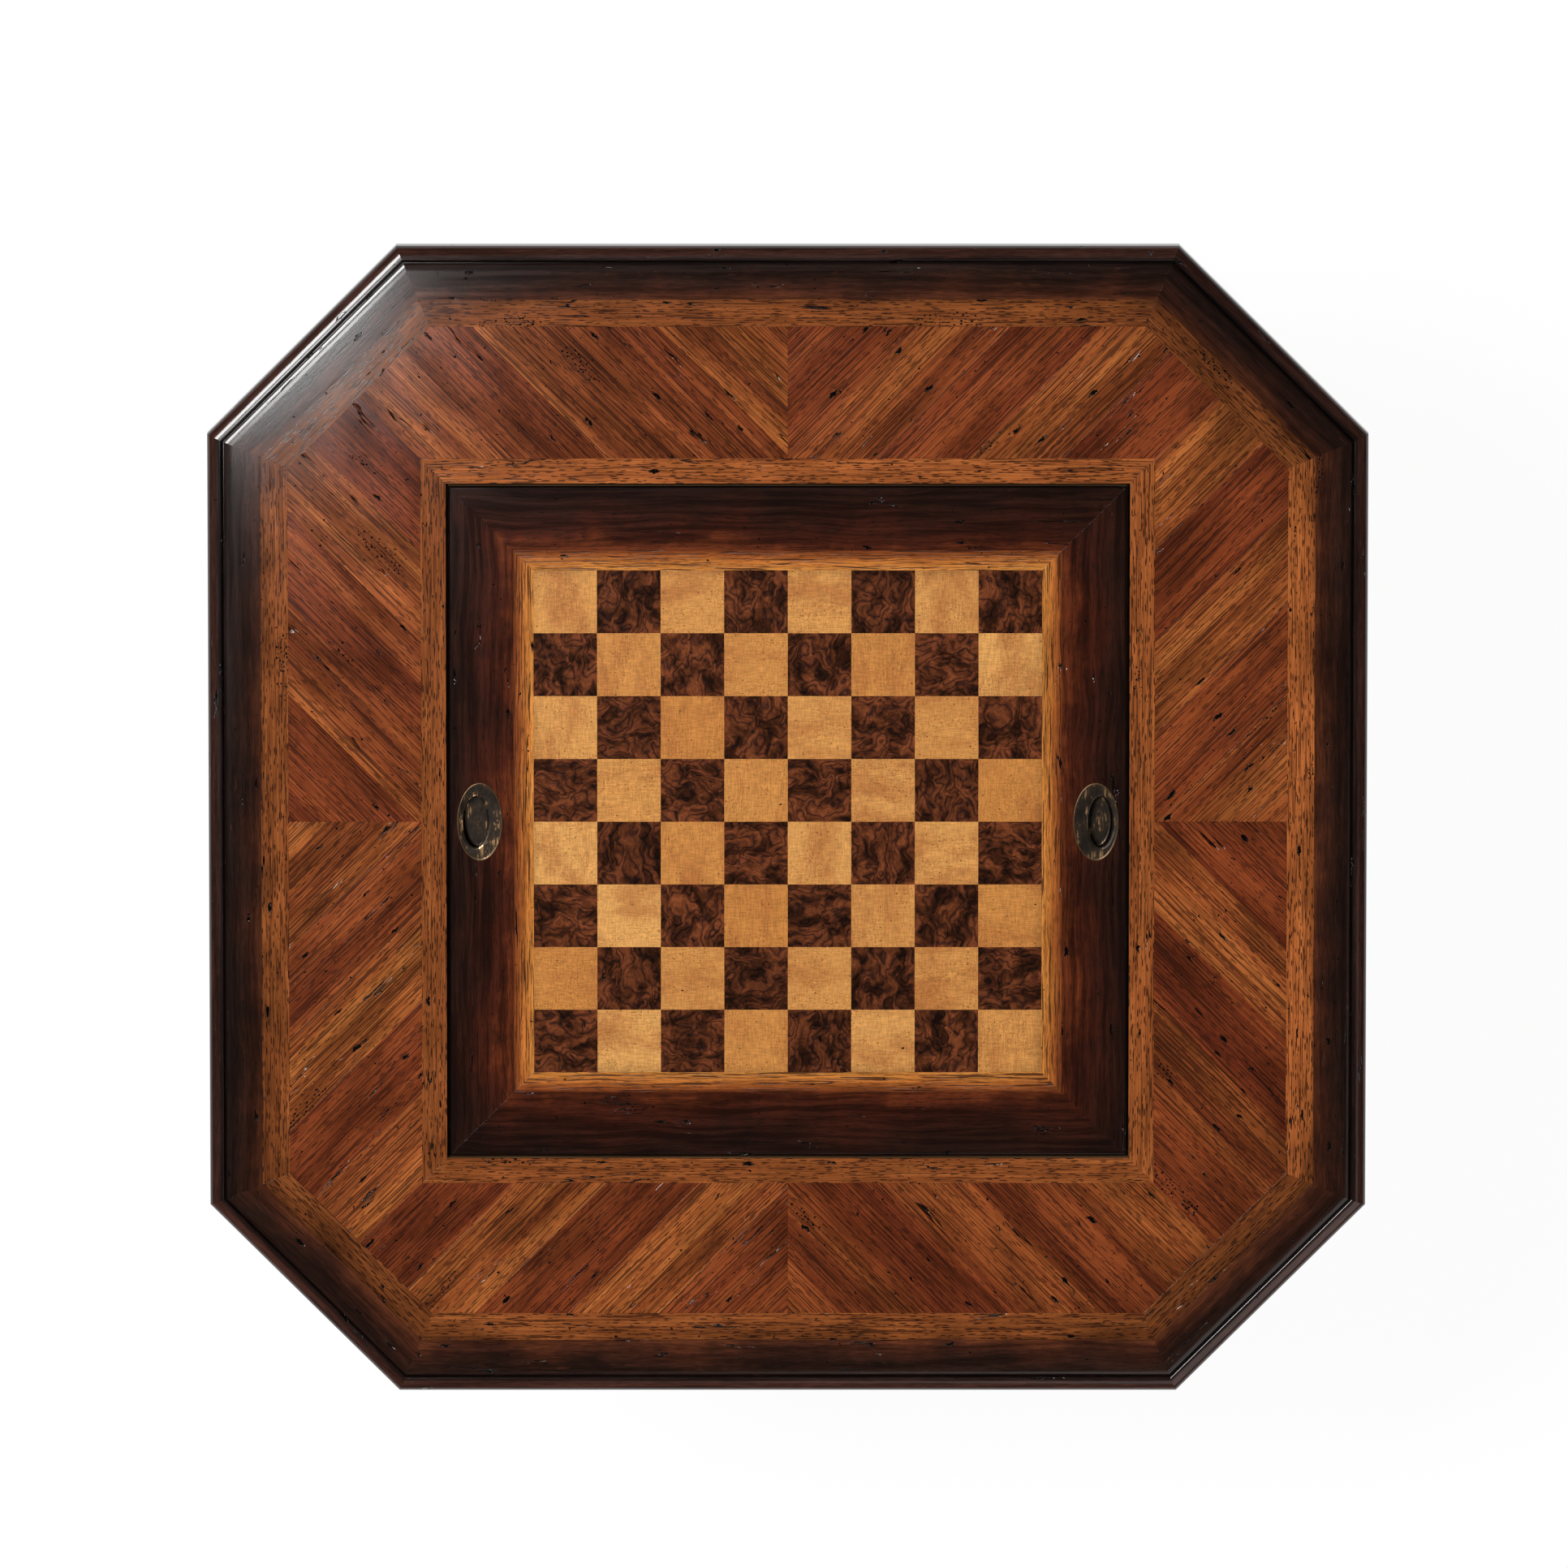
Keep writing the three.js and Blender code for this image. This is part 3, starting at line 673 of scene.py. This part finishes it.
def plateShare(tree, place):
    # how far out a point lies on the oval plate: 0 at the middle, 1 at the rim
    parts = addNode(tree, "SeparateXYZ", {0: place})
    fromCentre = less(tree, sums(tree, "ABSOLUTE", parts.outputs[0]), grip["centre"])
    across = sums(tree, "DIVIDE", fromCentre, grip["width"] / 2)
    along = sums(tree, "DIVIDE", parts.outputs[1], grip["length"] / 2)
    squares = sums(tree, "ADD", times(tree, across, across), times(tree, along, along))
    return sums(tree, "SQRT", squares)


def bronze():
    # browned brass, rubbed bright in a few streaks; lighter at the rim from rubbing and a painted
    # highlight; painted shade darkens the wall of the cup
    material, tree = newMaterial("bronzed_brass")
    place = placeOf(tree)
    rubbed = noise(tree, place, (0.0016, 0.014, 0.004), 3.0, 0.6)
    patch = noise(tree, place, (0.009, 0.014, 0.01), 3.0, 0.6)
    streaks = times(tree, between(tree, rubbed, 0.50, 0.60), between(tree, patch, 0.51, 0.61))
    # the rim is lighter: rubbing, with a painted highlight
    rim = times(tree, between(tree, plateShare(tree, place), 0.93, 0.98), 0.35)
    amount = most(tree, streaks, rim)
    base = mixed(tree, between(tree, patch, *usual), paint(33, 26, 20), paint(60, 47, 35))
    colour = mixed(tree, amount, base, paint(184, 142, 98))
    height = addNode(tree, "SeparateXYZ", {0: place}).outputs[2]
    cupFloor = top["height"] - grip["cupDepth"]
    # painted shade: the wall of the cup is darkened, while the floor of the cup and the plate keep their
    # colour
    cupWallShade = between(tree, height, cupFloor + 0.0002, cupFloor + 0.0015, 1.0, 0.2)
    above = between(tree, height, grip["under"] - 0.001, grip["under"])
    colour = scaled(tree, colour, most(tree, cupWallShade, above))
    roughness = between(tree, amount, 0.0, 1.0, 0.38, 0.28)
    return finishMaterial(material, colour, roughness, patch, 0.0002, 0.75)


print("materials")
woods = {
    "border": borderWood(),
    "oak": oakWood(),
    "field": fieldVeneer(),
    "maple": mapleWood(),
    "burl": burlWood(),
    "boardBorder": boardBorderWood(),
    "boardBanding": boardBandingWood(),
    "base": baseWood(),
    "plain": plainWood("plain_wood", grainOf),
    "core": plainWood("core_wood", placeOf),
    "wellFloor": wellFloorWood(),
}
pullMetal = bronze()


# edge of the top
edge = {
    "easedWidth": 0.008, "easedDrop": 0.0014, "thumbWidth": 0.0136, "crownInset": 0.0116,
    "thumbSink": 0.001, "thumbHeight": 0.0085, "quirkDepth": 0.0035, "quirkWidth": 0.0016,
    "quirkBead": 0.0009, "noseHeight": 0.0135, "underFillet": 0.0025, "arcSteps": 10, "beadSteps": 6,
}


def arc(centre, radii, start, end, steps):
    # points of a quarter or half ellipse, with its angles in degrees
    points = []
    for k in range(steps + 1):
        angle = math.radians(start + (end - start) * k / steps)
        points.append((centre[0] + radii[0] * math.cos(angle), centre[1] + radii[1] * math.sin(angle)))
    return points


def edgeOutline():
    height = top["height"]
    thumbTop = height - edge["thumbSink"]
    thumbFoot = thumbTop - edge["thumbHeight"]
    quirkFoot = height - edge["quirkDepth"]
    noseFoot = thumbFoot - edge["noseHeight"]
    cove = noseFoot - (height - top["thickness"])
    quirkEnd = edge["thumbWidth"] + edge["quirkWidth"]
    eased, drop = edge["easedWidth"], edge["easedDrop"]
    crown = edge["crownInset"]
    bead = edge["quirkBead"] / 2
    steps = edge["arcSteps"]
    return [
        (top["moulding"], height - top["thickness"]),
        (top["moulding"], height),
        *arc((quirkEnd + eased, height - drop), (eased, drop), 90, 180, steps),
        (quirkEnd, quirkFoot),
        *arc((edge["thumbWidth"] + bead, quirkFoot), (bead, 2 * bead), 0, 180, edge["beadSteps"]),
        *arc((crown, quirkFoot), (edge["thumbWidth"] - crown, thumbTop - quirkFoot), 0, 90, steps)[1:],
        *arc((crown, thumbFoot), (crown, edge["thumbHeight"]), 90, 180, steps)[1:],
        (0, noseFoot),
        (edge["underFillet"], noseFoot),
        *arc((edge["underFillet"], height - top["thickness"]), (cove, cove), 90, 0, steps)[1:],
    ]


# how light each length of the border is, from 0 to 1
edgeTones = {
    "right": 0.5, "back": 0.5, "left": 0.25, "front": 0.95,
    "back_right": 0.05, "back_left": 0.5, "front_left": 0.6, "front_right": 0.7,
}


def addEightLengths(prefix, outline, inset, slotName, material, nodePrefix, tones, *easing):
    # mitred lengths round all eight sides, their outer face that far inside the top's outline
    shorter = inset * math.tan(eighth)
    halfSide = top["half"] - top["cut"] - shorter
    halfCant = top["cut"] * slant - shorter
    along = mitredLength("side", outline, top["half"] - inset, halfSide, eighth)
    across = mitredLength("cant", outline, cantDistance - inset, halfCant, eighth)
    for pattern, places in ((along, sides), (across, cants)):
        ease(pattern, top["ease"], *easing)
        keepGrain(pattern, (0, 1, 0), (1, 0, 0))
        layRound(pattern, prefix, places, "table", slotName, material, nodePrefix, tones)


addEightLengths("thumb_moulding_", edgeOutline(), 0, "dark_wood", woods["border"],
                "edge_moulding_", edgeTones, 1, 60)
print("edge moulding")


# bandings of the top, with how light each length is
outerTones = {
    "right": 0.7, "left": 0.1, "back": 0.05, "front": 0.25,
    "back_right": 0.0, "back_left": 0.1, "front_left": 0.1, "front_right": 0.0,
}
innerTones = {"right": 0.4, "left": 0.0, "back": 0.5, "front": 0.25}


def strip(width, thickness, rounded=0):
    # section of a strip of the face; its outer edge can be rounded over
    high = top["height"]
    low = high - thickness
    outer = [(0, high)]
    if rounded:
        outer = arc((rounded, high - rounded), (rounded, rounded), 180, 90, board["roundSteps"])
    return [(0, low), *outer, (width, high), (width, low)]


def addSquareFrame(prefix, outline, half, body, slotName, material, nodePrefix, easing, tones=None):
    # four mitred lengths round a square
    pattern = mitredLength("side", outline, half, half, quarter)
    ease(pattern, easing)
    keepGrain(pattern, (0, 1, 0), (1, 0, 0))
    return layRound(pattern, prefix, sides, body, slotName, material, nodePrefix, tones)


addEightLengths("oak_outer_", strip(top["outerBanding"], top["veneer"]), top["moulding"],
                "oak_banding", woods["oak"], "outer_banding_", outerTones)
addSquareFrame("oak_inner_", strip(top["innerBanding"], top["veneer"]), innerHalf, "table",
               "oak_banding", woods["oak"], "inner_banding_", top["ease"], innerTones)
print("bandings")


# veneer field
leaf = {
    # the first and the last leaf of a quarter are wider: they run out to the joint at mid-side
    "width": 0.0587, "each": 10, "joint": 0.00012,
    "goldenTones": (0.5, 1.0), "redTones": (0.0, 0.25),
    "lightness": {"back_right": 1.0, "back_left": 0.9, "front_left": 1.0, "front_right": 0.7},
}


def addField():
    near = top["half"] - top["cut"] - (top["half"] - fieldHalf) * math.tan(eighth)
    outline = [(innerHalf, 0), (fieldHalf, 0), (fieldHalf, near), (near, fieldHalf),
               (0, fieldHalf), (0, innerHalf), (innerHalf, innerHalf)]
    whole = plate("quarter", outline, top["height"] - top["veneer"], top["height"])
    leaves = []
    for k in range(leaf["each"]):
        piece = copyOf(whole, "leaf")
        start = (k - leaf["each"] / 2) * leaf["width"]
        end = start + leaf["width"]
        if k > 0:
            cutAway(piece, (slant * start, -slant * start, 0), (-slant, slant, 0))
        if k < leaf["each"] - 1:
            cutAway(piece, (slant * end, -slant * end, 0), (slant, -slant, 0))
        ease(piece, leaf["joint"], 1)
        keepGrain(piece, (slant, slant, 0), (slant, -slant, 0))
        leaves.append(piece)
    for corner, degrees in corners.items():
        laid = []
        for k, pattern in enumerate(leaves):
            # every other leaf is golden
            piece = copyOf(pattern, "leaf", degrees)
            tone = chance.uniform(*leaf["goldenTones" if k % 2 == 1 else "redTones"])
            newWood(piece, tone * leaf["lightness"][corner])
            laid.append(piece)
        selectOnly(*laid)
        bpy.ops.object.join()
        laid[0].name = "field_leaves_" + corner
        lay(laid[0], "table", "walnut_veneer", woods["field"], "field_veneer_" + corner)
    discard(whole, *leaves)


addField()
print("veneer field")


# chessboard panel
def addSquares():
    middle = board["across"] / 2
    size = board["square"]
    pattern = slab("square", size / 2, size / 2, top["height"] - board["face"], top["height"])
    ease(pattern, board["ease"])
    for row in range(board["across"]):
        for column in range(board["across"]):
            pale = (row + column) % 2 == 1
            kind, node = ("maple", "light_squares") if pale else ("burl", "dark_squares")
            place = ((column + 0.5 - middle) * size, (row + 0.5 - middle) * size, 0)
            piece = copyOf(pattern, f"{kind}_square_{column + 1}_{row + 1}", 0, place)
            turned = chance.random() < 0.5
            along, across = ((1, 0, 0), (0, 1, 0)) if turned else ((0, 1, 0), (-1, 0, 0))
            keepGrain(piece, along, across)
            newWood(piece)
            lay(piece, "board", kind + "_squares", woods[kind], node)
    discard(pattern)


addSquares()
borderStrip = strip(board["border"], board["face"], board["roundedEdge"])
panelBorders = addSquareFrame("panel_border_", borderStrip, board["half"], "board", "dark_wood",
                              woods["boardBorder"], "board_border_", board["ease"])
addSquareFrame("panel_banding_", strip(board["banding"], board["face"]), bandingHalf, "board",
               "oak_banding", woods["boardBanding"], "board_banding_", board["ease"])
print("chessboard panel")


# pulls, with the rings that shape them: how far each lies outside its oval and above its level
gripSteps = {
    "cupTop": [(0, -0.0002)], "mouthFoot": [(0, 0.0001)],
    "rim": [(0, -0.0012), (0, -0.0006), (-0.0003, -0.0002), (-0.0007, 0), (-0.0011, -0.0001),
            (-0.0014, -0.0004), (-0.0020, -0.00045)],
    "lip": [(0.0026, -0.00045), (0.0022, -0.0008), (0.0010, -0.0009), (0.0006, -0.0005),
            (0.0003, -0.0005), (0, -0.0011)],
    "cup": [(0, 0.004), (-0.0006, 0.0012), (-0.0020, 0.0002), (-0.0034, 0)],
}


def gripRings():
    # (half width, half length, shift outwards, height), from the cup's underside out and back in
    rim = (grip["width"] / 2, grip["length"] / 2, 0)
    mouth = (grip["mouthWidth"] / 2, grip["mouthLength"] / 2, grip["mouthShift"])
    cup = (grip["cupWidth"] / 2, grip["cupLength"] / 2, grip["cupShift"])
    high = top["height"] + grip["proud"]
    floor = top["height"] - grip["cupDepth"]
    under, wall = grip["under"], grip["cupWall"]
    runs = [
        (cup, floor - wall, [(wall, 0)]), (cup, under, [(wall, 0)]), (rim, under, [(0, 0)]),
        (rim, high, gripSteps["rim"]), (mouth, high, gripSteps["lip"]),
        (mouth, under, gripSteps["mouthFoot"]), (cup, under, gripSteps["cupTop"]),
        (cup, floor, gripSteps["cup"]),
    ]
    return [(halfWidth + out, halfLength + out, shift, level + rise)
            for (halfWidth, halfLength, shift), level, steps in runs for out, rise in steps]


def addPulls():
    rings = gripRings()
    width, length, shift, height = rings[0]
    bpy.ops.mesh.primitive_circle_add(vertices=grip["around"], radius=1, fill_type="NGON", calc_uvs=False)
    pattern = bpy.context.object
    openUp()
    bpy.ops.transform.resize(value=(width, length, 1))
    bpy.ops.transform.translate(value=(grip["centre"] + shift, 0, height))
    for ring in rings[1:]:
        pull((ring[2] - shift, 0, ring[3] - height))
        middle = (grip["centre"] + ring[2], 0, ring[3])
        bpy.ops.transform.resize(value=(ring[0] / width, ring[1] / length, 1), center_override=middle)
        width, length, shift, height = ring
    closeUp()
    shadeEvenly(pattern)
    for name, degrees, sign in (("right", 0, 1), ("left", 180, -1)):
        piece = copyOf(pattern, "oval_pull_" + name, degrees)
        lay(piece, "board", "bronzed_brass", pullMetal, name + "_pull")
        letIn(panelBorders[name], sign)
    discard(pattern)


def letIn(border, sign):
    # cuts the oval seat of the pull through the face strip
    bpy.ops.mesh.primitive_cylinder_add(vertices=grip["around"], radius=1, depth=1, calc_uvs=False)
    cutter = bpy.context.object
    lap = grip["seatLap"]
    cutter.scale = (grip["width"] / 2 - lap, grip["length"] / 2 - lap, grip["seatCut"])
    cutter.location = (sign * grip["centre"], 0, top["height"])
    bpy.ops.object.transform_apply()
    modify(border, "BOOLEAN", operation="DIFFERENCE", solver="EXACT", object=cutter)
    discard(cutter)
    shadeEvenly(border)
    keepGrain(border, (0, 1, 0), (1, 0, 0))
    newWood(border)


addPulls()
print("pulls")


# backgammon well
well = {
    "depth": 0.060, "wall": 0.012, "floor": 0.009, "barWidth": 0.038, "barHeight": 0.022,
    "pointsPerHalf": 6, "pointLength": 0.225, "pointGap": 0.0012, "pointProud": 0.00015,
    "pointSunk": 0.001, "pointMargin": 0.001, "barGap": 0.0003, "barEase": 0.002, "ease": 0.0004,
}


def addWell():
    ledge = top["height"] - board["thickness"]
    floorTop = ledge - well["depth"]
    floor = slab("well_floor_panel", openingHalf, openingHalf, floorTop - well["floor"], floorTop)
    ease(floor, well["ease"])
    keepGrain(floor, (0, 1, 0), (-1, 0, 0))
    newWood(floor)
    lay(floor, "table", "walnut_veneer", woods["wellFloor"], "well_floor")
    wall = [(0, floorTop), (0, ledge), (well["wall"], ledge), (well["wall"], floorTop)]
    addSquareFrame("well_side_", wall, openingHalf, "table", "dark_wood", woods["base"],
                   "well_wall_", well["ease"])
    half = openingHalf - well["wall"] - well["barGap"]
    bar = well["barWidth"] / 2
    middle = slab("well_middle_bar", bar, half, floorTop, floorTop + well["barHeight"])
    ease(middle, well["barEase"], 3)
    keepGrain(middle, (0, 1, 0), (-1, 0, 0))
    newWood(middle)
    lay(middle, "table", "dark_wood", woods["base"], "well_bar")
    addPoints(half, bar, floorTop)


def addPoints(half, bar, floorTop):
    # twenty-four inlaid points, pale and dark by turns
    pitch = (half - bar) / well["pointsPerHalf"]
    reach = pitch / 2 - well["pointGap"]
    high = floorTop + well["pointProud"]
    end = half - well["pointMargin"]
    outline = [(-reach, 0), (reach, 0), (0, well["pointLength"])]
    pattern = plate("point", outline, floorTop - well["pointSunk"], high)
    keepGrain(pattern, (0, 1, 0), (-1, 0, 0))
    for k in range(2 * well["pointsPerHalf"]):
        fromBar = bar + (k // 2 + 0.5) * pitch
        x = fromBar if k % 2 == 0 else -fromBar
        rank = well["pointsPerHalf"] + k // 2 + 1 if k % 2 == 0 else well["pointsPerHalf"] - k // 2
        for side, degrees, y in (("front", 0, -end), ("back", 180, end)):
            kind = "maple" if (rank + (side == "front")) % 2 == 0 else "burl"
            piece = copyOf(pattern, f"point_{side}_{rank}", degrees, (x, y, 0))
            newWood(piece)
            lay(piece, "table", kind + "_squares", woods[kind])
    discard(pattern)


addWell()
print("backgammon well")


# rails, blocks and bearers
base = {
    "legCornerHalf": 0.42904, "railReveal": 0.004, "railThickness": 0.022, "railUnder": 0.633,
    "frameTop": 0.7277, "beadHeight": 0.007, "beadReach": 0.0025, "beadStep": 0.0008,
    "beadSteps": 10, "glueLine": 0.0003, "ease": 0.0006,
    "legWidth": 0.090, "legCentre": 0.36540, "blockThickness": 0.026, "blockHeight": 0.070,
    "bearerWidth": 0.040, "bearerHeight": 0.020, "bearerSpacing": 0.300,
}
# how far out the room between the rails reaches
insideRails = base["legCornerHalf"] - base["railReveal"] - base["railThickness"] - base["glueLine"]


def addRails():
    outer, under, high = base["railReveal"], base["railUnder"], base["frameTop"]
    inner = outer + base["railThickness"]
    bead, step = base["beadHeight"] / 2, base["beadStep"]
    outline = [(outer, high), (outer, under + 2 * bead + step), (outer + step, under + 2 * bead),
               *arc((outer, under + bead), (base["beadReach"], bead), 90, 270, base["beadSteps"]),
               (inner, under), (inner, high)]
    endCut = (base["legWidth"] + 2 * base["glueLine"]) * slant
    halfLength = base["legCornerHalf"] - endCut
    pattern = mitredLength("rail", outline, base["legCornerHalf"], halfLength, quarter)
    ease(pattern, base["ease"], 2, 60)
    keepGrain(pattern, (0, 1, 0), (0, 0, 1))
    layRound(pattern, "apron_", sides, "table", "base_wood", woods["base"], "rail_")


def addBlocks():
    end, high = insideRails, base["frameTop"]
    legInner = base["legCentre"] * math.sqrt(2) - base["legWidth"] / 2
    outerSum = (legInner - base["glueLine"]) * math.sqrt(2)
    innerSum = outerSum - (base["blockThickness"] - base["glueLine"]) * math.sqrt(2)
    outline = [(outerSum - end, end), (end, outerSum - end), (end, innerSum - end), (innerSum - end, end)]
    pattern = plate("block", outline, high - base["blockHeight"], high)
    ease(pattern, base["ease"])
    keepGrain(pattern, (slant, -slant, 0), (0, 0, 1))
    layRound(pattern, "glue_block_", corners, "table", "secondary_wood", woods["plain"], "corner_block_")


def addBearers():
    high = top["height"] - board["thickness"] - well["depth"] - well["floor"]
    pattern = slab("bearer", insideRails, base["bearerWidth"] / 2, high - base["bearerHeight"], high)
    ease(pattern, base["ease"])
    keepGrain(pattern, (1, 0, 0), (0, 1, 0))
    for name, sign in (("front", -1), ("back", 1)):
        piece = copyOf(pattern, "bearer_" + name, 0, (0, sign * base["bearerSpacing"] / 2, 0))
        newWood(piece)
        lay(piece, "table", "secondary_wood", woods["plain"], "well_bearer_" + name)
    discard(pattern)


addRails()
addBlocks()
addBearers()
print("rails, blocks and bearers")


# legs
leg = {
    "bunHeight": 0.062, "bunRadius": 0.042, "bunBase": 0.028, "ankle": 0.022, "ankleHeight": 0.006,
    "lowerRing": 0.031, "lowerRingHeight": 0.013, "belly": 0.038, "neck": 0.021,
    "upperRing": 0.032, "upperRingHeight": 0.013, "reel": 0.025, "reelHeight": 0.010,
    "cap": 0.040, "capHeight": 0.018, "block": 0.613, "overlap": 0.005,
    "bellyShare": 0.74, "lowerSwell": 0.45, "upperSwell": 0.50, "blockEase": 0.0025,
    "around": 56, "bunSteps": 18, "lowerSteps": 22, "upperSteps": 12, "capSteps": 12, "weld": 0.00002,
}


def ringOf(under, reach, bottom, height, steps=10):
    # a half-round ring that stands out from the radius under it
    turn = arc((0, bottom + height / 2), (reach - under, height / 2), -90, 90, steps)
    return [(under + out, z) for out, z in turn]


def swell(start, end, share, steps):
    # a run from one (radius, height) to another that leaves and arrives upright
    points = []
    for k in range(1, steps + 1):
        t = k / steps
        radius = start[0] + (end[0] - start[0]) * t * t * (3 - 2 * t)
        rise = 3 * share * t * (1 - t) ** 2 + 3 * (1 - share) * t * t * (1 - t) + t ** 3
        points.append((radius, start[1] + (end[1] - start[1]) * rise))
    return points


def legOutline():
    ankleTop = leg["bunHeight"] + leg["ankleHeight"]
    start = ankleTop + leg["lowerRingHeight"]
    capBottom = leg["block"] - leg["capHeight"]
    reelBottom = capBottom - leg["reelHeight"]
    end = reelBottom - leg["upperRingHeight"]
    belly = start + (end - start) * leg["bellyShare"]
    return [
        (0, 0),
        *ringOf(leg["bunBase"], leg["bunRadius"], 0, leg["bunHeight"], leg["bunSteps"]),
        (leg["ankle"], leg["bunHeight"]), (leg["ankle"], ankleTop),
        *ringOf(leg["ankle"], leg["lowerRing"], ankleTop, leg["lowerRingHeight"]),
        (leg["neck"], start),
        *swell((leg["neck"], start), (leg["belly"], belly), leg["lowerSwell"], leg["lowerSteps"]),
        *swell((leg["belly"], belly), (leg["neck"], end), leg["upperSwell"], leg["upperSteps"]),
        *ringOf(leg["neck"], leg["upperRing"], end, leg["upperRingHeight"]),
        (leg["reel"], reelBottom), (leg["reel"], capBottom),
        *ringOf(leg["reel"], leg["cap"], capBottom, leg["capHeight"], leg["capSteps"]),
        (leg["reel"], leg["block"] + leg["overlap"]), (0, leg["block"] + leg["overlap"]),
    ]


def addLegs():
    turning = startOutline("turning", [(radius, 0, height) for radius, height in legOutline()])
    bpy.ops.mesh.spin(steps=leg["around"], angle=2 * math.pi, center=(0, 0, 0), axis=(0, 0, 1))
    bpy.ops.mesh.select_all(action="SELECT")
    bpy.ops.mesh.remove_doubles(threshold=leg["weld"])
    closeUp()
    shadeEvenly(turning, 40)
    half = base["legWidth"] / 2
    straight = slab("block", half, half, leg["block"], base["frameTop"])
    block = copyOf(straight, "block", 45)
    ease(block, leg["blockEase"], 3)
    for part in (turning, block):
        keepGrain(part, (0, 0, 1), (1, 0, 0))
    selectOnly(turning, block)
    bpy.ops.object.join()
    pattern = copyOf(turning, "leg", 0, (base["legCentre"], base["legCentre"], 0))
    layRound(pattern, "turned_leg_", corners, "table", "base_wood", woods["base"], "leg_")
    discard(turning, straight)


addLegs()
print("legs")


# solids that stay
for name in ("top_core", "board_core", "board_backing"):
    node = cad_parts[name]
    node.data.materials.clear()
    node.data.materials.append(woods["core"])
print("cores")


# floor, light and background
studio = {"floorSize": 80, "world": 0.04, "floorShare": 0.12, "floorGlow": 1.08}
lamps = {
    # a high soft light whose reflection runs along the far left cant
    "main": {"place": (-2.98, 1.81, 8.22), "aim": (0, 0, 0.762), "size": 2.6, "power": 525.0},
    # a broad weak one from the near right
    "fill": {"place": (2.43, -3.44, 4.3), "aim": (0, 0, 0.762), "size": 4.4, "power": 60.0},
    # a small one for the sheen on the flat behind the far left cant
    "sheen": {"place": (-0.532, 0.337, 2.004), "aim": (-0.43, 0.43, 0.762), "size": 0.20, "power": 2.6},
}


def addFloor():
    bpy.ops.mesh.primitive_plane_add(size=studio["floorSize"])
    floor = bpy.context.object
    floor.name = "studio_floor"
    material, tree = newMaterial("pale_floor")
    ray = addNode(tree, "LightPath", {})
    kinds = ("Camera", "Glossy", "Transmission")
    seen = most(tree, *[ray.outputs[f"Is {kind} Ray"] for kind in kinds])
    white = addNode(tree, "Emission", {"Color": paint(255, 255, 255), "Strength": studio["floorGlow"]})
    dull = addNode(tree, "BsdfDiffuse", {"Color": paint(240, 240, 240)})
    share = times(tree, seen, 1 - studio["floorShare"])
    above = addNode(tree, "MixShader", {0: share, 1: dull.outputs[0], 2: white.outputs[0]})
    # seen through from below, so that the underside of the table can be looked at
    below = addNode(tree, "BsdfTransparent", {})
    under = addNode(tree, "NewGeometry", {}).outputs["Backfacing"]
    surface = addNode(tree, "MixShader", {0: under, 1: above.outputs[0], 2: below.outputs[0]})
    addNode(tree, "OutputMaterial", {"Surface": surface.outputs[0]})
    floor.data.materials.append(material)


def addLight():
    world = bpy.data.worlds.new("studio")
    world.use_nodes = True
    world.node_tree.nodes.clear()
    tree = world.node_tree
    glow = addNode(tree, "Background", {"Color": paint(255, 255, 255), "Strength": studio["world"]})
    addNode(tree, "OutputWorld", {"Surface": glow.outputs[0]})
    scene.world = world
    for name, lamp in lamps.items():
        bpy.ops.object.light_add(type="AREA", location=lamp["place"])
        light = bpy.context.object
        light.name = name + "_light"
        light.data.shape = "SQUARE"
        light.data.size = lamp["size"]
        light.data.energy = lamp["power"]
        x, y, z = [target - start for start, target in zip(lamp["place"], lamp["aim"])]
        light.rotation_euler = (math.atan2(math.hypot(x, y), -z), 0, math.atan2(-x, y))


addFloor()
addLight()
scene.view_settings.view_transform = "Standard"
print("studio")
